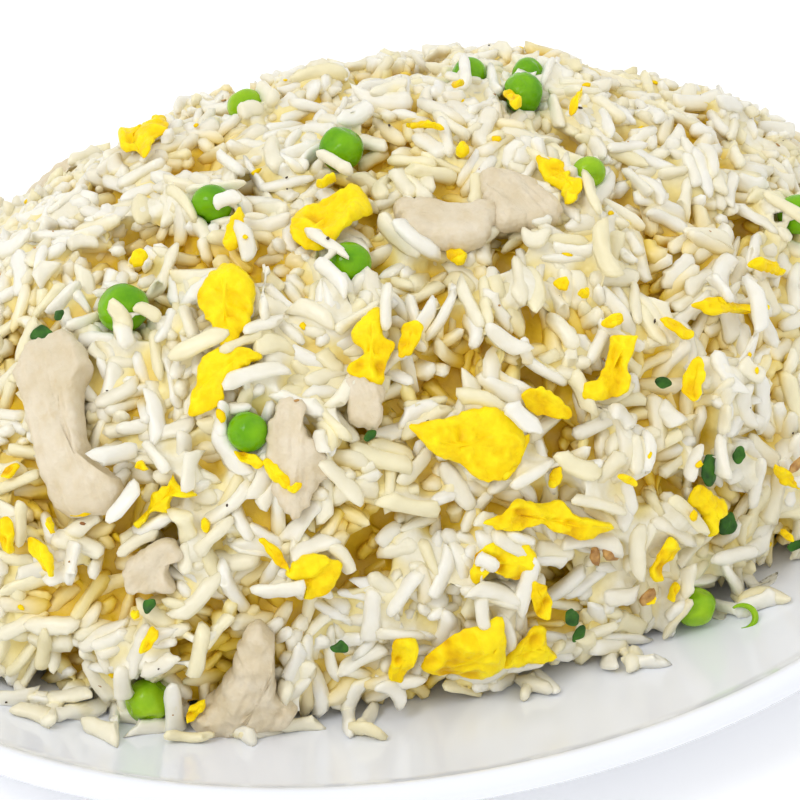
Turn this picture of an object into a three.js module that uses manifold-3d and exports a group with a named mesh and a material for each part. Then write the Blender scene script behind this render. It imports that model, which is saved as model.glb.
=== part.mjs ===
// Fried rice on an oval coupe platter: the platter, one heap of rice, and the peas,
// scrambled egg, chicken and scallion that lie in its surface.
// Millimetres, +Z up. The origin is the centre of the platter's foot, on the table.
import * as THREE from 'three';
import { mergeVertices } from 'three/addons/utils/BufferGeometryUtils.js';
import Module from 'manifold-3d';

const wasm = await Module();
wasm.setup();

// ---------------------------------------------------------------- driving dimensions

// Oval coupe platter. An inset is a distance inwards from the platter's outline.
const PLATE_HALF_LENGTH = 119;
const PLATE_HALF_WIDTH = 92;
const RIM_HEIGHT = 22;
const LIP_RADIUS = 2.3;
const WELL_HEIGHT = 6; // upper face of the flat well
const WELL_INSET = 42; // where the sloping side has run out into the well
const SIDE_CURVE = 1.6; // 1 is a straight sloping side, 2 a bowl's
const WALL = 4.2;
const FOOT_OUTER_INSET = 34;
const FOOT_INNER_INSET = 39;
const FOOT_RECESS = 1.8; // the base inside the foot stands this far off the table
const PLATE_SEGMENTS = 40;
const OVAL_CORE = 60; // inside this half length the ovals keep one shape

// Heap of rice: an oval dome, steep at its foot and nearly flat on top.
const HEAP_CENTRE = new THREE.Vector2(-0.6, 8.7);
const HEAP_HALF_LENGTH = 105.6;
const HEAP_HALF_WIDTH = 72.3;
const HEAP_TOP = 68.8;
const HEAP_BASE = 7; // height that directions to the toppings are taken from
const SHOULDER = 3; // a higher power keeps the top flat for longer
const ROUNDING = 1.6; // and this one rounds the shoulder over
const HEAP_RINGS = 22;
const UNDERSIDE_SIDES = 54;

// Cooked grains show as bumps, over slow lumps where spoonfuls fell.
const GRAIN_BUMP = 2.8;
const GRAIN_SHARE = 0.24; // share of vertices where a raised row starts
const LUMP = 1.7;
const JITTER = 0.9;
const EDGE_WANDER = 2.6;
const QUIET_MARGIN = 2.5; // the bumps fade out over this distance from a topping

const LEAF_TILT = 0.3;
const GAP = 0.35; // clearance between touching pieces
const POCKET_GAP = 1.0; // pockets have fewer sides, so they stand off further
const PLATE_GAP = 0.6;

// Toppings by direction from the middle of the heap's base: bearing about +Z from +X,
// elevation above the table and spin in the surface, in degrees. The sunk share is of
// the piece's own half thickness.
const PEAS = [
  // bearing, elevation, radius, sunk
  [126, 81, 4.2, 0.2], [193.5, 46, 4.5, 0.3], [233, 67.5, 4.0, 0.5], [175, 62.5, 3.6, 0.35],
  [225.5, 39.5, 3.5, 0.2], [221, 5, 4.0, 0.2], [293.5, 4.5, 3.8, 0.2], [45, 58, 3.6, 0.6],
  [24, 60, 4.0, 0.3], [339.2, 59.9, 3.0, 0.3], [114, 57, 3.6, 0.6], [344.5, 31, 4.0, 0.3],
  [31, 54, 3.2, 0.35],
  // the far side and the ends
  [66, 26, 3.7, 0.3], [71, 14, 4.2, 0.3], [97, 24, 3.9, 0.3], [168, 27, 4.2, 0.2],
  [142, 12, 3.6, 0.4], [172, 14, 4.0, 0.2], [4, 12, 3.8, 0.3], [107, 12, 3.8, 0.4],
];
const EGGS = [
  // bearing, elevation, spin, length, width, thickness, bend
  [218, 73, 58, 17, 9.5, 2.8, 0.8], [210, 52.5, -66, 16.5, 9.5, 3.2, 1.4],
  [218, 45, 52, 15, 7.2, 3.2, 1.2], [244.5, 54, -100, 12.8, 7.6, 3.2, 1.0],
  [262.2, 38.8, -18, 19.8, 12.2, 4.2, 1.2], [272, 26.4, -22, 24, 6.5, 3.2, 1.8],
  [265.5, 21.8, -6, 11, 6.2, 2.8, 0.8], [292.7, 42.4, -147, 14, 7.5, 3.2, 1.2],
  [258.8, 11, 27, 15.5, 10.5, 3.2, 1.2], [269.4, 9.4, 10, 9, 7.0, 3.2, 0.6],
  [250.3, 10.2, -102, 10, 4.4, 2.8, 0.6], [238.5, 23, 6, 9.5, 7.4, 3.2, 0.8],
  [289, 15.3, 38, 8, 4.6, 2.8, 0.6], [298, 18, -62, 9, 6.2, 3.0, 0.6],
  [217, 29, 37, 12, 5.5, 2.8, 1.0], [138, 50, 10, 10.5, 6, 3.4, 0.6],
  [331.5, 65.4, -124, 10.6, 6.0, 3.4, 0.8], [319.3, 37, -34, 16, 4.3, 2.6, 1.4],
  // the far side and the ends
  [50, 22, 30, 15, 9, 3.2, 1.2], [81, 26, -60, 16, 9, 3.4, 1.4],
  [112, 27, 70, 13, 8, 3.2, 1.0], [152, 13, 20, 15, 8, 3.2, 1.2],
  [357, 15, -80, 17, 9, 3.4, 1.4],
];
const CHICKEN = [
  // bearing, elevation, spin, length, width, thickness, bend, cragginess
  [201, 32, -50, 31, 10.5, 6.5, 1.8, 0.05], [315, 69.5, 86, 12.5, 9.5, 5.5, 0.6, 0.09],
  [278, 73.6, -28, 15.5, 8.5, 5.5, 0.8, 0.06], [244.4, 44.3, -77, 8.6, 6.4, 5.5, 0.2, 0.06],
  [231.8, 9.6, -112, 23, 13.5, 8.5, 1.6, 0.15], [218.7, 21, -132, 11.5, 8.5, 5.5, 0.6, 0.06],
  [233.7, 37.2, -88, 17, 7.5, 5, 1.0, 0.08],
  // the far side
  [36, 11, 10, 24, 11, 7, 1.6, 0.09], [127, 17, -60, 22, 10, 7, 1.2, 0.12],
  [89, 14, 5, 18, 9, 6, 1.0, 0.07],
];
const SCALLIONS = [
  // bearing, elevation, spin, length, width, sunk
  [300.4, 23, 70, 5.6, 4.2, 0.4], [188, 37.5, 20, 4.6, 3.8, 0.6], [301, 13.5, 30, 4.6, 3.6, 1.4],
  [60, 15, 10, 5.4, 4.0, 0.3],
];

const COLOURS = {
  plate: 0xe9e9e8, rice: 0xe5dcc4, pea: 0x6fae1c, egg: 0xf6d024,
  chicken: 0xeee0c6, scallion: 0x2f5a1a,
};

// ---------------------------------------------------------------- small helpers

const { cos, sin, hypot, PI } = Math;
const TURN = 2 * PI;
const lerp = THREE.MathUtils.lerp;
const radians = THREE.MathUtils.degToRad;

// Seeded draws between 0 and 1 (mulberry32), so the food is the same each time.
function seededDraws(seed) {
  let state = seed >>> 0;
  return () => {
    state = (state + 0x6d2b79f5) >>> 0;
    let mixed = Math.imul(state ^ (state >>> 15), state | 1);
    mixed ^= mixed + Math.imul(mixed ^ (mixed >>> 7), mixed | 61);
    return ((mixed ^ (mixed >>> 14)) >>> 0) / 2 ** 32;
  };
}

// Smooth unevenness between about -1 and 1, with features about one size across.
function unevenness(point, size, phase) {
  const scale = TURN / size;
  const x = point.x * scale;
  const y = point.y * scale;
  const z = point.z * scale;
  const first = sin(0.9 * x + 0.45 * y + 0.3 * z + phase);
  const second = sin(-0.5 * x + 0.85 * y + 0.4 * z + 2.1 * phase + 1);
  const third = sin(0.35 * x - 0.4 * y + 0.95 * z + 3.7 * phase + 2);
  return (first + second + third + first * second) / 3;
}

// A closed geometry with its shared corners merged and its flattened triangles dropped.
function joinedCorners(geometry) {
  geometry.deleteAttribute('normal');
  geometry.deleteAttribute('uv');
  const merged = mergeVertices(geometry, 1e-4);
  const index = merged.index.array;
  const kept = [];
  for (let i = 0; i < index.length; i += 3) {
    const [a, b, c] = [index[i], index[i + 1], index[i + 2]];
    if (a !== b && b !== c && c !== a) kept.push(a, b, c);
  }
  return merged.setIndex(kept);
}

function solidOf(geometry) {
  return new wasm.Manifold(new wasm.Mesh({
    numProp: 3,
    vertProperties: new Float32Array(geometry.attributes.position.array),
    triVerts: new Uint32Array(geometry.index.array),
  }));
}

function geometryOf(solid) {
  const { numProp, vertProperties, triVerts } = solid.getMesh();
  const corners = new Float32Array((vertProperties.length / numProp) * 3);
  for (let i = 0; i < corners.length / 3; i += 1) {
    corners.set(vertProperties.slice(i * numProp, i * numProp + 3), i * 3);
  }
  const geometry = new THREE.BufferGeometry();
  geometry.setAttribute('position', new THREE.BufferAttribute(corners, 3));
  geometry.setIndex([...triVerts]);
  geometry.computeVertexNormals();
  return geometry;
}

function moveEachVertex(geometry, move) {
  const positions = geometry.attributes.position;
  const vertex = new THREE.Vector3();
  for (let i = 0; i < positions.count; i += 1) {
    move(vertex.fromBufferAttribute(positions, i));
    positions.setXYZ(i, vertex.x, vertex.y, vertex.z);
  }
  return geometry;
}

function namedMesh(name, geometry, colour, roughness) {
  const finish = new THREE.MeshStandardMaterial({ color: colour, roughness, metalness: 0 });
  const mesh = new THREE.Mesh(geometry, finish);
  mesh.name = name;
  return mesh;
}

const numbered = (kind, index) => `${kind}_${String(index + 1).padStart(2, '0')}`;

// ---------------------------------------------------------------- platter

// Height of the platter's upper face at an inset from its outline.
function plateTop(inset) {
  const lipInset = LIP_RADIUS * 1.6;
  const run = THREE.MathUtils.clamp((WELL_INSET - inset) / (WELL_INSET - lipInset), 0, 1);
  return WELL_HEIGHT + (RIM_HEIGHT - 1.4 - WELL_HEIGHT) * run ** SIDE_CURVE;
}

// Half width of the oval ring whose half length is given.
function ovalHalfWidth(halfLength) {
  const narrower = PLATE_HALF_LENGTH - PLATE_HALF_WIDTH;
  if (halfLength >= OVAL_CORE) return halfLength - narrower;
  return (halfLength * (OVAL_CORE - narrower)) / OVAL_CORE;
}

// Inset of a place on the table plane, found by halving.
function insetAt(x, y) {
  let low = 0;
  let high = PLATE_HALF_LENGTH - 1;
  for (let step = 0; step < 30; step += 1) {
    const middle = (low + high) / 2;
    const halfLength = PLATE_HALF_LENGTH - middle;
    const within = hypot(x / halfLength, y / ovalHalfWidth(halfLength)) < 1;
    if (within) low = middle;
    else high = middle;
  }
  return low;
}

function plateGeometry() {
  const edge = PLATE_HALF_LENGTH;
  const points = [[0, FOOT_RECESS], [edge - FOOT_INNER_INSET - 1, FOOT_RECESS]];
  points.push([edge - FOOT_INNER_INSET, 0], [edge - FOOT_OUTER_INSET, 0]);
  points.push([edge - FOOT_OUTER_INSET + 1.2, FOOT_RECESS]);
  for (const inset of [24, 14, 7]) points.push([edge - inset, plateTop(inset + 1) - WALL]);
  for (let degrees = -60; degrees <= 140; degrees += 50) {
    const angle = radians(degrees);
    points.push([
      edge - LIP_RADIUS + LIP_RADIUS * cos(angle),
      RIM_HEIGHT - LIP_RADIUS + LIP_RADIUS * sin(angle),
    ]);
  }
  for (const inset of [7, 11, 16, 22, 30, WELL_INSET]) points.push([edge - inset, plateTop(inset)]);
  points.push([0, WELL_HEIGHT]);
  const profile = points.map(([radius, height]) => new THREE.Vector2(radius, height));
  const turned = new THREE.LatheGeometry(profile, PLATE_SEGMENTS).rotateX(PI / 2);
  const oval = moveEachVertex(joinedCorners(turned), (vertex) => {
    const radius = hypot(vertex.x, vertex.y);
    if (radius > 0) vertex.y *= ovalHalfWidth(radius) / radius;
  });
  return geometryOf(solidOf(oval));
}

// ---------------------------------------------------------------- heap

const heapFoot = (x, y) => plateTop(insetAt(x, y)) + PLATE_GAP + 0.2;

// Below 0 inside the smooth dome, above 0 outside it.
function outsideHeap(point) {
  const across = (point.x - HEAP_CENTRE.x) / HEAP_HALF_LENGTH;
  const along = (point.y - HEAP_CENTRE.y) / HEAP_HALF_WIDTH;
  const foot = heapFoot(point.x, point.y);
  const up = (point.z - foot) / (HEAP_TOP - foot);
  return hypot(across, along) ** SHOULDER + Math.max(up, 0) ** ROUNDING - 1;
}

// Outward direction of the smooth dome at a point.
function heapNormal(point) {
  const step = 0.05;
  const slope = ['x', 'y', 'z'].map((axis) => {
    const ahead = point.clone();
    const behind = point.clone();
    ahead[axis] += step;
    behind[axis] -= step;
    return outsideHeap(ahead) - outsideHeap(behind);
  });
  return new THREE.Vector3(...slope).normalize();
}

// Where the direction from the middle of the heap's base leaves the dome.
function onHeap(bearing, elevation) {
  const direction = new THREE.Vector3(
    cos(radians(elevation)) * cos(radians(bearing)),
    cos(radians(elevation)) * sin(radians(bearing)),
    sin(radians(elevation)),
  );
  const start = new THREE.Vector3(HEAP_CENTRE.x, HEAP_CENTRE.y, HEAP_BASE);
  let inside = 0;
  let outside = 2 * HEAP_HALF_LENGTH;
  for (let step = 0; step < 40; step += 1) {
    const middle = (inside + outside) / 2;
    const reached = start.clone().addScaledVector(direction, middle);
    if (outsideHeap(reached) < 0) inside = middle;
    else outside = middle;
  }
  return start.addScaledVector(direction, inside);
}

// Dome angles from the top (0) to the foot (a quarter turn), even along the surface.
function ringAngles(count) {
  const samples = 400;
  const meanRadius = (HEAP_HALF_LENGTH + HEAP_HALF_WIDTH) / 2;
  const place = (angle) => [
    meanRadius * sin(angle) ** (2 / SHOULDER),
    (HEAP_TOP - WELL_HEIGHT) * Math.max(cos(angle), 0) ** (2 / ROUNDING),
  ];
  const lengths = [0];
  for (let i = 1; i <= samples; i += 1) {
    const [r0, z0] = place(((i - 1) / samples) * (PI / 2));
    const [r1, z1] = place((i / samples) * (PI / 2));
    lengths.push(lengths[i - 1] + hypot(r1 - r0, z1 - z0));
  }
  const angles = [];
  for (let ring = 0, i = 0; ring <= count; ring += 1) {
    const wanted = (ring / count) * lengths[samples];
    while (i < samples && lengths[i] < wanted) i += 1;
    angles.push((i / samples) * (PI / 2));
  }
  return angles;
}

// The top is a disc of rings, ring k with 6k vertices, draped over the dome. It is
// left smooth under the toppings, which are fitted to the bare dome.
function heapGeometry(toppings) {
  const draw = seededDraws(7321);
  const angles = ringAngles(HEAP_RINGS);
  const rings = angles.map((angle, ring) => {
    const count = Math.max(6 * ring, 1);
    return Array.from({ length: count }, (unused, i) => heapVertex(angle, (i / count) * TURN));
  });
  raiseGrains(rings, draw);
  const top = rings.map((ring, k) => ring.map((vertex) => roughened(vertex, k, toppings, draw)));
  const foot = top[HEAP_RINGS];
  const underside = Array.from({ length: UNDERSIDE_SIDES }, (unused, i) => {
    const turn = (i / UNDERSIDE_SIDES) * TURN;
    const reach = 0.8;
    const x = HEAP_CENTRE.x + reach * HEAP_HALF_LENGTH * cos(turn);
    const y = HEAP_CENTRE.y + reach * HEAP_HALF_WIDTH * sin(turn);
    return new THREE.Vector3(x, y, plateTop(insetAt(x, y)) + PLATE_GAP);
  });
  const bottom = new THREE.Vector3(HEAP_CENTRE.x, HEAP_CENTRE.y, WELL_HEIGHT + PLATE_GAP);

  const loops = [...top, underside, [bottom]];
  const corners = loops.flat();
  const starts = [];
  for (let k = 0, start = 0; k < loops.length; k += 1) {
    starts.push(start);
    start += loops[k].length;
  }
  const triangles = [];
  for (let k = 0; k + 1 < loops.length; k += 1) {
    joinLoops(triangles, starts[k], loops[k].length, starts[k + 1], loops[k + 1].length);
  }
  const geometry = new THREE.BufferGeometry();
  const flat = corners.flatMap((corner) => corner.toArray());
  geometry.setAttribute('position', new THREE.Float32BufferAttribute(flat, 3));
  geometry.setIndex(triangles);
  return geometry;
}

// A band of triangles between two loops round the same axis, whatever their counts.
function joinLoops(triangles, startA, countA, startB, countB) {
  let a = 0;
  let b = 0;
  const at = (start, count, i) => start + (i % count);
  while (a < countA || b < countB) {
    const nextA = countA > 1 ? (a + 1) / countA : Infinity;
    const nextB = countB > 1 ? (b + 1) / countB : Infinity;
    const stepA = b >= countB || (a < countA && nextA < nextB);
    if (stepA && countA === 1) break;
    if (!stepA && countB === 1) break;
    const corner = [at(startA, countA, a), at(startB, countB, b)];
    if (stepA) triangles.push(corner[0], corner[1], at(startA, countA, a + 1));
    else triangles.push(corner[0], corner[1], at(startB, countB, b + 1));
    if (stepA) a += 1;
    else b += 1;
    if ((countA === 1 && b >= countB) || (countB === 1 && a >= countA)) break;
  }
}

// One vertex of the dome, with the foot's outline wandering in and out.
function heapVertex(angle, turn) {
  const spread = sin(angle) ** (2 / SHOULDER);
  const rise = Math.max(cos(angle), 0) ** (2 / ROUNDING);
  const wander = sin(3 * turn + 1) + sin(7 * turn) + sin(13 * turn + 2) + sin(23 * turn);
  const loosened = EDGE_WANDER * 0.4 * wander * sin(angle) ** 4;
  const x = HEAP_CENTRE.x + (HEAP_HALF_LENGTH + loosened) * spread * cos(turn);
  const y = HEAP_CENTRE.y + (HEAP_HALF_WIDTH + loosened) * spread * sin(turn);
  const foot = heapFoot(x, y);
  const position = new THREE.Vector3(x, y, foot + (HEAP_TOP - foot) * rise);
  return { position, raised: 0 };
}

// Rows of two or three neighbouring vertices stand up together, as single grains do.
function raiseGrains(rings, draw) {
  for (let k = 1; k < rings.length - 1; k += 1) {
    for (let i = 0; i < rings[k].length; i += 1) {
      if (draw() > GRAIN_SHARE) continue;
      const height = GRAIN_BUMP * lerp(0.55, 1.35, draw());
      const alongRing = draw() < 0.5;
      const nextRing = rings[k + 1];
      const outer = Math.round(((i + draw() - 0.5) * nextRing.length) / rings[k].length);
      const neighbour = alongRing
        ? rings[k][(i + 1) % rings[k].length]
        : nextRing[(outer + nextRing.length) % nextRing.length];
      rings[k][i].raised = Math.max(rings[k][i].raised, height);
      if (k + 1 < rings.length - 1) neighbour.raised = Math.max(neighbour.raised, 0.8 * height);
    }
  }
}

// How far from every topping a place is: 0 beside one, 1 clear of them all.
function clearOfToppings(position, toppings) {
  const distances = toppings.map(({ place, reach }) => {
    const middle = new THREE.Vector3().setFromMatrixPosition(place);
    return middle.distanceTo(position) - reach;
  });
  return THREE.MathUtils.smoothstep(Math.min(...distances), 0, QUIET_MARGIN);
}

// Lumps, raised grains and a little sideways jitter; the foot stays where it is.
function roughened(vertex, ring, toppings, draw) {
  const { position, raised } = vertex;
  const sideways = new THREE.Vector3(draw() - 0.5, draw() - 0.5, 0).multiplyScalar(2 * JITTER);
  if (ring === HEAP_RINGS) return position;
  const outward = heapNormal(position);
  const fade = Math.min(1, (HEAP_RINGS - ring) / 3);
  const lump = LUMP * unevenness(position, 34, 0.6) + 0.5 * LUMP * unevenness(position, 15, 2.2);
  const loose = lump - 0.6 * GRAIN_BUMP + raised;
  const offset = fade * loose * clearOfToppings(position, toppings);
  const moved = position.clone().addScaledVector(outward, offset);
  if (ring > 0 && ring < HEAP_RINGS - 1) moved.add(sideways);
  moved.z = Math.max(moved.z, heapFoot(moved.x, moved.y) + 0.3);
  return moved;
}

// ---------------------------------------------------------------- toppings

// Axes at a place on the dome: x level, y uphill, z outwards, then spun about z.
function placeOnHeap(bearing, elevation, spin, depth) {
  const origin = onHeap(bearing, elevation);
  const outward = heapNormal(origin);
  const level = new THREE.Vector3(0, 0, 1).cross(outward).normalize();
  const uphill = outward.clone().cross(level);
  const axes = new THREE.Matrix4().makeBasis(level, uphill, outward);
  const turned = axes.multiply(new THREE.Matrix4().makeRotationZ(radians(spin)));
  return turned.setPosition(origin.addScaledVector(outward, -depth));
}

// A pea: a faceted ball, a little longer than wide, with a slightly sunken skin.
function peaGeometry(radius, seed, grow, detail) {
  const ball = joinedCorners(new THREE.IcosahedronGeometry(1, detail));
  return moveEachVertex(ball, (vertex) => {
    const dent = 1 - 0.045 * (1 + unevenness(vertex, 1.9, seed));
    vertex.multiplyScalar(radius * dent + grow);
    vertex.x *= 1.04;
    vertex.z *= 0.95;
  });
}

// A cooked morsel along x: a flattened ball with blunt ends, bent and uneven.
function morselGeometry({ length, width, thick, bend, rough, sides, rings, seed, grow }) {
  const ball = joinedCorners(new THREE.SphereGeometry(1, sides, rings).rotateZ(PI / 2));
  return moveEachVertex(ball, (vertex) => {
    const end = vertex.x;
    const blunt = Math.min(1, hypot(vertex.y, vertex.z) ** -0.35);
    const swell = 1 + rough * 2 * unevenness(vertex, 2.4, seed);
    const halfWidth = (width / 2) * swell * (1 + 0.18 * sin(2.3 * end + seed)) + grow;
    const halfThick = (thick / 2) * (1 + rough * unevenness(vertex, 1.7, seed + 3)) + grow;
    const ruffle = bend * (0.35 - end * end) + 0.25 * bend * sin(5 * end + 2 * vertex.y + seed);
    vertex.x = end * (length / 2 + grow);
    vertex.y = vertex.y * blunt * halfWidth + 0.8 * bend * sin(2 * end + seed);
    vertex.z = vertex.z * blunt * halfThick + ruffle;
  });
}

// A scrap of scallion leaf: a thin wavy sheet, its two faces split alike, with one end
// in the rice.
function leafGeometry(length, width, seed, grow) {
  const sheet = joinedCorners(new THREE.BoxGeometry(1, 1, 1, 3, 2, 1));
  const halfThick = 0.35 + grow;
  return moveEachVertex(sheet, (vertex) => {
    const { x, y } = vertex;
    const round = 1 - 0.9 * (x * x * 2) ** 2;
    const wave = 0.5 * sin(5 * x + seed) + 0.35 * sin(6 * y + 2 * seed);
    vertex.x = x * (length + 2 * grow);
    vertex.y = y * (width + 2 * grow) * round;
    vertex.z = Math.sign(vertex.z) * halfThick + wave + LEAF_TILT * x * length;
  });
}

// Every topping: its name, its kind, its place and two functions that give its own
// geometry and that of the pocket that it lies in, which has fewer sides.
function toppingList() {
  const list = [];
  PEAS.forEach(([bearing, elevation, radius, sunk], i) => {
    list.push({
      name: numbered('pea', i), kind: 'pea',
      place: placeOnHeap(bearing, elevation, 37 * i, radius * sunk),
      reach: radius,
      shape: () => peaGeometry(radius, i, 0, 1),
      pocket: () => peaGeometry(radius, i, 1.2 * POCKET_GAP, 0),
    });
  });
  EGGS.forEach(([bearing, elevation, spin, length, width, thick, bend], i) => {
    const form = { length, width, thick, bend, rough: 0.13, sides: 8, rings: 6, seed: 1.7 * i };
    list.push({
      name: numbered('egg', i), kind: 'egg',
      place: placeOnHeap(bearing, elevation, spin, -0.15 * thick),
      reach: 0.4 * length,
      shape: () => morselGeometry({ ...form, grow: 0 }),
      pocket: () => morselGeometry({ ...form, grow: POCKET_GAP, sides: 6, rings: 5 }),
    });
  });
  CHICKEN.forEach(([bearing, elevation, spin, length, width, thick, bend, rough], i) => {
    const form = { length, width, thick, bend, rough, sides: 10, rings: 7, seed: 2.3 * i + 1 };
    list.push({
      name: numbered('chicken', i), kind: 'chicken',
      place: placeOnHeap(bearing, elevation, spin, 0.1 * thick),
      reach: 0.35 * length,
      shape: () => morselGeometry({ ...form, grow: 0 }),
      pocket: () => morselGeometry({ ...form, grow: POCKET_GAP + 0.2, sides: 8, rings: 5 }),
    });
  });
  SCALLIONS.forEach(([bearing, elevation, spin, length, width, sunk], i) => {
    list.push({
      name: numbered('scallion', i), kind: 'scallion',
      place: placeOnHeap(bearing, elevation, spin, sunk),
      reach: 0.5 * length,
      shape: () => leafGeometry(length, width, 1.3 * i, 0),
      pocket: () => leafGeometry(length, width, 1.3 * i, GAP),
    });
  });
  return list;
}

// ---------------------------------------------------------------- assembly

const placedSolid = (geometry, place) => solidOf(geometry.applyMatrix4(place));

// The heap with a pocket for each topping, and without loose scraps.
function riceSolid(toppings) {
  let heap = solidOf(heapGeometry(toppings));
  for (const { pocket, place } of toppings) heap = heap.subtract(placedSolid(pocket(), place));
  const pieces = heap.decompose();
  return pieces.reduce((largest, piece) => (piece.volume() > largest.volume() ? piece : largest));
}

const ROUGHNESS = { pea: 0.35, egg: 0.5, chicken: 0.6, scallion: 0.5 };

const group = new THREE.Group();
const toppings = toppingList();
group.add(namedMesh('plate', plateGeometry(), COLOURS.plate, 0.15));
group.add(namedMesh('rice', geometryOf(riceSolid(toppings)), COLOURS.rice, 0.55));
for (const { name, kind, shape, place } of toppings) {
  const geometry = geometryOf(placedSolid(shape(), place));
  group.add(namedMesh(name, geometry, COLOURS[kind], ROUGHNESS[kind]));
}

export default group;
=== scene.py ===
"""Fried rice on an oval coupe platter: real grains over a core, with peas, egg, chicken and scallion."""
import math

import bpy
import numpy as np
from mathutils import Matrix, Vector
from mathutils.bvhtree import BVHTree


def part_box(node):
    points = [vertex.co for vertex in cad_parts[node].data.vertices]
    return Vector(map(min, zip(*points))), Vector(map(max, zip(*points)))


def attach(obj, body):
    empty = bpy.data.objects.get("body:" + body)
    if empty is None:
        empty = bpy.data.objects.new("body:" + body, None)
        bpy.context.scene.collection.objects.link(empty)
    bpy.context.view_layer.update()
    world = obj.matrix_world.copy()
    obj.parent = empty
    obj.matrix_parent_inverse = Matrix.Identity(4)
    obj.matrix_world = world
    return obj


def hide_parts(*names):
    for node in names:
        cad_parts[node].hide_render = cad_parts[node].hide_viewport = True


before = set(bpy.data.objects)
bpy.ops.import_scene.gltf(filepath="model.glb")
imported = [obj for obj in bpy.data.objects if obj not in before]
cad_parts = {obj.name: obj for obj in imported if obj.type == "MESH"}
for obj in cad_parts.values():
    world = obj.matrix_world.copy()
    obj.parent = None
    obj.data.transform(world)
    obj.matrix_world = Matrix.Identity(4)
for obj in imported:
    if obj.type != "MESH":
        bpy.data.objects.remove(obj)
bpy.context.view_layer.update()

MM = 0.001

# ---------------------------------------------------------------- driving sizes, in mm

# Platter, as the part's own: an inset is a distance inwards from its outline.
PLATE_LOW, PLATE_HIGH = (np.array(corner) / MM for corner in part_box("plate"))
PLATE_HALF_LENGTH = (PLATE_HIGH[0] - PLATE_LOW[0]) / 2
PLATE_HALF_WIDTH = (PLATE_HIGH[1] - PLATE_LOW[1]) / 2
RIM_HEIGHT = PLATE_HIGH[2]
LIP_RADIUS = 2.3
LIP_INSET = 1.6 * LIP_RADIUS  # the curved side meets the lip there,
LIP_DROP = 1.4  # this far below the rim
WELL_HEIGHT = 6.0
WELL_INSET = 42.0
SIDE_CURVE = 1.6
WALL = 4.2
FOOT_OUTER_INSET = 34.0
FOOT_INNER_INSET = 39.0
FOOT_RECESS = 1.8
OVAL_CORE = 60.0

# Heap: an oval dome, with slow lumps.
HEAP_CENTRE = np.array([-0.6, 8.7])
HEAP_HALF = np.array([105.6, 72.3])
HEAP_TOP = 68.8
SHOULDER = 3.0
ROUNDING = 1.6
PLATE_GAP = 0.8
LUMP = 1.7
LUMP_SIZE, SMALL_LUMP_SIZE = 34, 15

# Rice: cooked long grains, packed in a shell over the core. They are sticky, so that
# each sinks into its neighbours by a share of its radius.
GRAIN_RADIUS = 1.42
GRAIN_HALF_LENGTH = 4.3
STICKING = 0.36
SEAM_FILL = 1.0  # where grains lie closer than this, starch fills the seam between them
CLUMP_SIZE = 15.0
CLUMP_HEIGHT = 2.6
SHELL_DEPTH = 7.5
PACKING = 1.5  # volume of grains for each of the shell, before they settle
BEADS = 5  # spheres that stand for a grain while the grains are packed
PACK_STEPS = 70
SETTLING = 0.03  # grains sink in by this at each step, until the last few
LAST_STEPS = 8
PAIR_REACH = 2.3 * GRAIN_RADIUS
TRIED_PLACES = 120000
CLUMP_GRAINS = 7  # about so many lie alike
LONERS = 0.2  # share of the grains that lie their own way
STANDING_OUT = 0.12  # share that stand out of the heap
BROKEN = 0.16  # share that are broken short
GRAIN_SHAPES = 28
HOLLOWS = 150  # grain-shaped gaps that are left open between the clumps
HOLLOW_WIDTH = 1.7
HOLLOW_DEPTH = 5.0
CORE_DEPTH = 7.0
STARCH_VOXEL = 1.12
STARCH_REACH = 0.3  # it fills gaps between grains up to twice this wide
STARCH_SINK = 0.8  # and lies about this much below their surfaces
STARCH_MERGE = 0.5  # or up to this much less where clumps stick together, more where they are loose
TOP_DEPTH = 3.6  # grains whose middles lie deeper are made with fewer faces
DEPTH_RANGE = (-2, 12)  # depths that the painted shade can tell apart
LOOSE_GRAINS = 90

CAMERA_ELEVATION = 42.0
CAMERA_AZIMUTH = -21.5
CAMERA_TARGET = np.array([-2.23, -0.86, RIM_HEIGHT])
CAMERA_DISTANCE = 500.0
PIXELS_PER_MM = 5.5  # at the target, in a picture 800 pixels wide
PICTURE_WIDTH = 800

SKY_LOW, SKY_HIGH = 0.80, 1.0  # the studio's soft light at the horizon, and high up
FLOOR_GLOW = 0.12
FLOOR_HALF = 3000.0
KEY_AZIMUTH, KEY_ELEVATION = -75, 55
KEY_DISTANCE, KEY_SIZE, KEY_POWER = 1.1, 0.42, 2.8  # metres, metres and watts

TAU = 2 * math.pi
UP = np.array([0.0, 0.0, 1.0])
SEED = 11


# ---------------------------------------------------------------- noise and small maths

def unit(vectors):
    return vectors / np.maximum(np.linalg.norm(vectors, axis=-1, keepdims=True), 1e-9)


def unevenness(points, size, phase):
    """The part's own slow unevenness, between about -1 and 1."""
    x, y, z = (points[..., axis] * (TAU / size) for axis in range(3))
    first = np.sin(0.9 * x + 0.45 * y + 0.3 * z + phase)
    second = np.sin(-0.5 * x + 0.85 * y + 0.4 * z + 2.1 * phase + 1)
    third = np.sin(0.35 * x - 0.4 * y + 0.95 * z + 3.7 * phase + 2)
    return (first + second + third + first * second) / 3


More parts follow.
